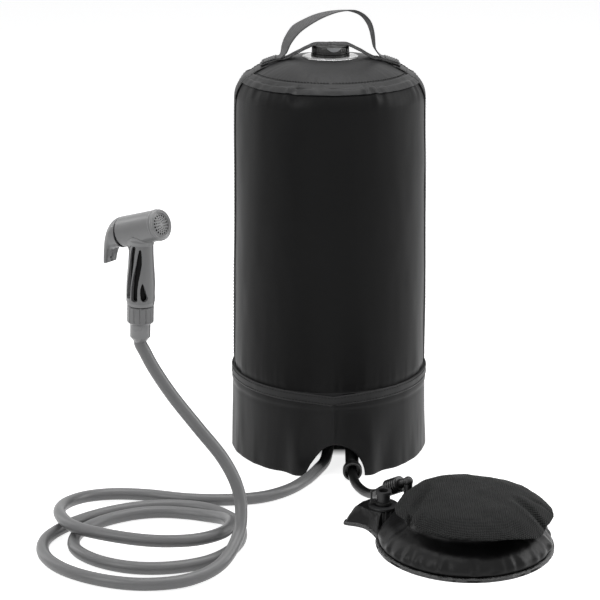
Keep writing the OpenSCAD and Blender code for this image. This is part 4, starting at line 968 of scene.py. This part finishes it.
# Cover flap: crowned mesh-textured fabric over the pressing board, with two creases
a = circle(360)
FLAP = np.array([  # turn in degrees, reach and height of the flap's edge
    (-180, 69, 37), (-160, 67.5, 38), (-147, 68.5, 40), (-138, 70.5, 41), (-125, 72.5, 41), (-98, 77, 41),
    (-75, 80.5, 40.5), (-55, 84, 37), (-42, 86, 33.5), (-33, 84.5, 32.5), (-25, 81, 33), (-17, 83, 33.5),
    (-6, 86.5, 34), (8, 86.5, 35.5), (25, 82, 39), (45, 76.5, 42), (70, 73, 43.5), (92, 72, 43.5),
    (112, 70, 43), (128, 67.5, 42), (145, 67, 40), (162, 68, 38)])


def along_edge(t, col, run):
    """A column of FLAP at the angles t, averaged over a run of them"""
    edge = np.interp(np.degrees(turn_from(t, (1, 0))), FLAP[:, 0], FLAP[:, col], period=360)
    return np.convolve(np.tile(edge, 3), np.ones(run) / run, "same")[len(t):2 * len(t)]


def crease(X, Y, p, q, width, depth):
    """A fold line from p to q that fades towards q"""
    d = np.array(q, float) - p
    length = np.linalg.norm(d)
    d /= length
    u = ((X - p[0]) * d[0] + (Y - p[1]) * d[1]) / length
    v = (X - p[0]) * -d[1] + (Y - p[1]) * d[0]
    return depth * bell(v, width * (0.5 + np.clip(u, 0, 1))) * smooth(u, -0.15, 0.1) * smooth(u, 1.1, 0.5)


reach = along_edge(a, 1, 9)
reach = reach + 0.5 * noise(np.cos(a) * 9, np.sin(a) * 9, 0, 131)
reach = reach + 0.3 * noise(np.cos(a) * 24, np.sin(a) * 24, 0, 132)
z_edge = along_edge(a, 2, 15)
u = np.concatenate([np.linspace(0.0001, 0.9, 60), np.linspace(0.905, 1.0, 20)])
A, U = np.meshgrid(a, u)
R = U * reach[None, :]
X, Y = R * np.cos(A), R * np.sin(A)
lift = 1 - np.clip(U, 0, 1) ** 4.5
crown = z_edge[None, :] + (51.0 - z_edge[None, :]) * lift
rel = dents(X, Y, (1.3, 38, 101), (0.7, 16, 102), (0.25, 7, 103))
top = crown + rel * 0.9 + 0.9 * noise(X / 18, Y / 18, 4, 104) * smooth(U, 0.7, 1.0)
top = top - crease(X, Y, (-60, -40), (-34, 30), 4.2, 7.5) + crease(X, Y, (-50, -44), (-22, 34), 6, 1.6)
top = top - crease(X, Y, (74, -36), (44, 4), 5.0, 5.0) + crease(X, Y, (64, -42), (36, -4), 7, 1.4)
top = top - crease(X, Y, (88, -6), (50, 14), 4.0, 1.6)
top = np.where(R < 62, 42.4 + np.logaddexp(0, (top - 42.4) / 0.8) * 0.8, top)
low = np.minimum(top - 1.6, 44)
pts_top = np.stack([CX + X, CY + Y, top], -1)
edge = np.stack([CX + X[-1] * 1.006, CY + Y[-1] * 1.006, (top[-1] + low[-1]) / 2], -1)[None]
inner = np.minimum(top[::-1] - 1.2, np.maximum(low[::-1], 26 + 14.6 * smooth(R[::-1], 74, 62)))
pts_low = np.stack([CX + X[::-1], CY + Y[::-1], inner], -1)
pts = np.concatenate([pts_top, edge, pts_low[:38]])
grid("pump_cover_skin", pts, "mesh", wrap=True, uv=pts[..., :2], body="pump_top", slot="cover_mesh",
     replaces=["pump_cover"])

# Carried nodes
paint("inside", "bag_floor")
paint("black", "filler_neck", "cap_leash_ring", "water_outlet", "outlet_nut", "air_inlet", "inlet_nut",
      "air_elbow", "pump_spigot", "pump_hose_nut")
paint("tab", "cap_tab")
paint("rubber", "cap_seal", "outlet_seal", "inlet_seal", "nut_washer", "stem_seal", "valve_tether")
paint("valve_red", "check_disc", "intake_disc")
paint("steel", "hose_clamp", "lever_pin", "valve_stem", "return_spring")
paint("abs", "hose_nut", "head_shell")
paint("abs_light", "hose_sleeve", "base_ring")
paint("core", "grip_core")
paint("board", "pump_plate")
paint("valve", "valve_flange", "valve_barrel")

# Studio
me = bpy.data.meshes.new("studio_floor")
me.from_pydata([(-6, -5, 0), (6, -5, 0), (6, 7, 0), (-6, 7, 0)], [], [(0, 1, 2, 3)])
floor = add_object("studio_floor", me)


def ray_seen(tree):
    """1 for what the camera sees straight, through clear plastic or in a reflection, and 0 for other light"""
    ray = tree.nodes.new("ShaderNodeLightPath").outputs
    straight = math_node(tree, "MAXIMUM", ray["Is Camera Ray"], ray["Is Transmission Ray"])
    return math_node(tree, "MAXIMUM", straight, ray["Is Glossy Ray"])


def ramp_between(tree, value, start, end):
    """0 where the value is at start, rising to 1 at end"""
    node = tree.nodes.new("ShaderNodeMapRange")
    node.inputs["From Min"].default_value = start
    node.inputs["From Max"].default_value = end
    tree.links.new(value, node.inputs["Value"])
    return node.outputs[0]


# The floor glows white for the camera, but not in the dark place under the bag, which the arch shows
fm = bpy.data.materials.new("studio_floor")
fm.use_nodes = True
fp = fm.node_tree
link, new = fp.links.new, fp.nodes.new
paper = fp.nodes["Principled BSDF"]
paper.inputs["Base Color"].default_value = (0.86, 0.86, 0.86, 1)
paper.inputs["Roughness"].default_value = 0.9
paper.inputs["Specular IOR Level"].default_value = 0.1
spot = new("ShaderNodeTexCoord")
length = new("ShaderNodeVectorMath")
length.operation = "LENGTH"
link(spot.outputs["Object"], length.inputs[0])
parts = new("ShaderNodeSeparateXYZ")
link(spot.outputs["Object"], parts.inputs[0])
under = ramp_between(fp, length.outputs["Value"], 0.106, 0.099)
behind = ramp_between(fp, parts.outputs["Y"], -0.05, -0.03)
clear_of = math_node(fp, "SUBTRACT", 1.0, math_node(fp, "MULTIPLY", under, behind))
lit = math_node(fp, "MULTIPLY", ray_seen(fp), clear_of)
glow = new("ShaderNodeEmission")
link(math_node(fp, "MULTIPLY", lit, 0.84), glow.inputs["Strength"])
both = new("ShaderNodeAddShader")
link(paper.outputs[0], both.inputs[0])
link(glow.outputs[0], both.inputs[1])
link(both.outputs[0], fp.nodes["Material Output"].inputs[0])
me.materials.append(fm)

world = bpy.data.worlds.new("studio")
bpy.context.scene.world = world
world.use_nodes = True
nt = world.node_tree
bg = nt.nodes["Background"]
bg.inputs["Color"].default_value = (0.95, 0.97, 1.0, 1)
bg.inputs["Strength"].default_value = 0.11
white = nt.nodes.new("ShaderNodeBackground")
white.inputs["Color"].default_value = (1, 1, 1, 1)
white.inputs["Strength"].default_value = 1.0
mix = nt.nodes.new("ShaderNodeMixShader")
nt.links.new(ray_seen(nt), mix.inputs[0])
nt.links.new(bg.outputs[0], mix.inputs[1])
nt.links.new(white.outputs[0], mix.inputs[2])
nt.links.new(mix.outputs[0], nt.nodes["World Output"].inputs[0])


def lamp(name, at, target, size, power, size_y=None):
    la = bpy.data.lights.new(name, "AREA")
    la.shape = "RECTANGLE"
    la.size = size
    la.size_y = size_y or size
    la.energy = power
    ob = add_object(name, la)
    ob.location = at
    ob.rotation_euler = (Vector(target) - Vector(at)).to_track_quat("-Z", "Y").to_euler()


lamp("key", (-1.5, -1.5, 1.5), (-0.1, -0.1, 0.2), 0.8, 12, 1.2)
lamp("rim_left", (-1.5, 0.5, 0.8), (0, 0, 0.25), 0.5, 5, 1.4)
lamp("rim_right", (1.5, 0.0, 0.9), (0, 0, 0.25), 0.6, 10, 1.4)
lamp("top", (0.1, 0.1, 1.9), (0, -0.1, 0), 1.4, 18.5)

bpy.context.scene.view_settings.view_transform = "Standard"
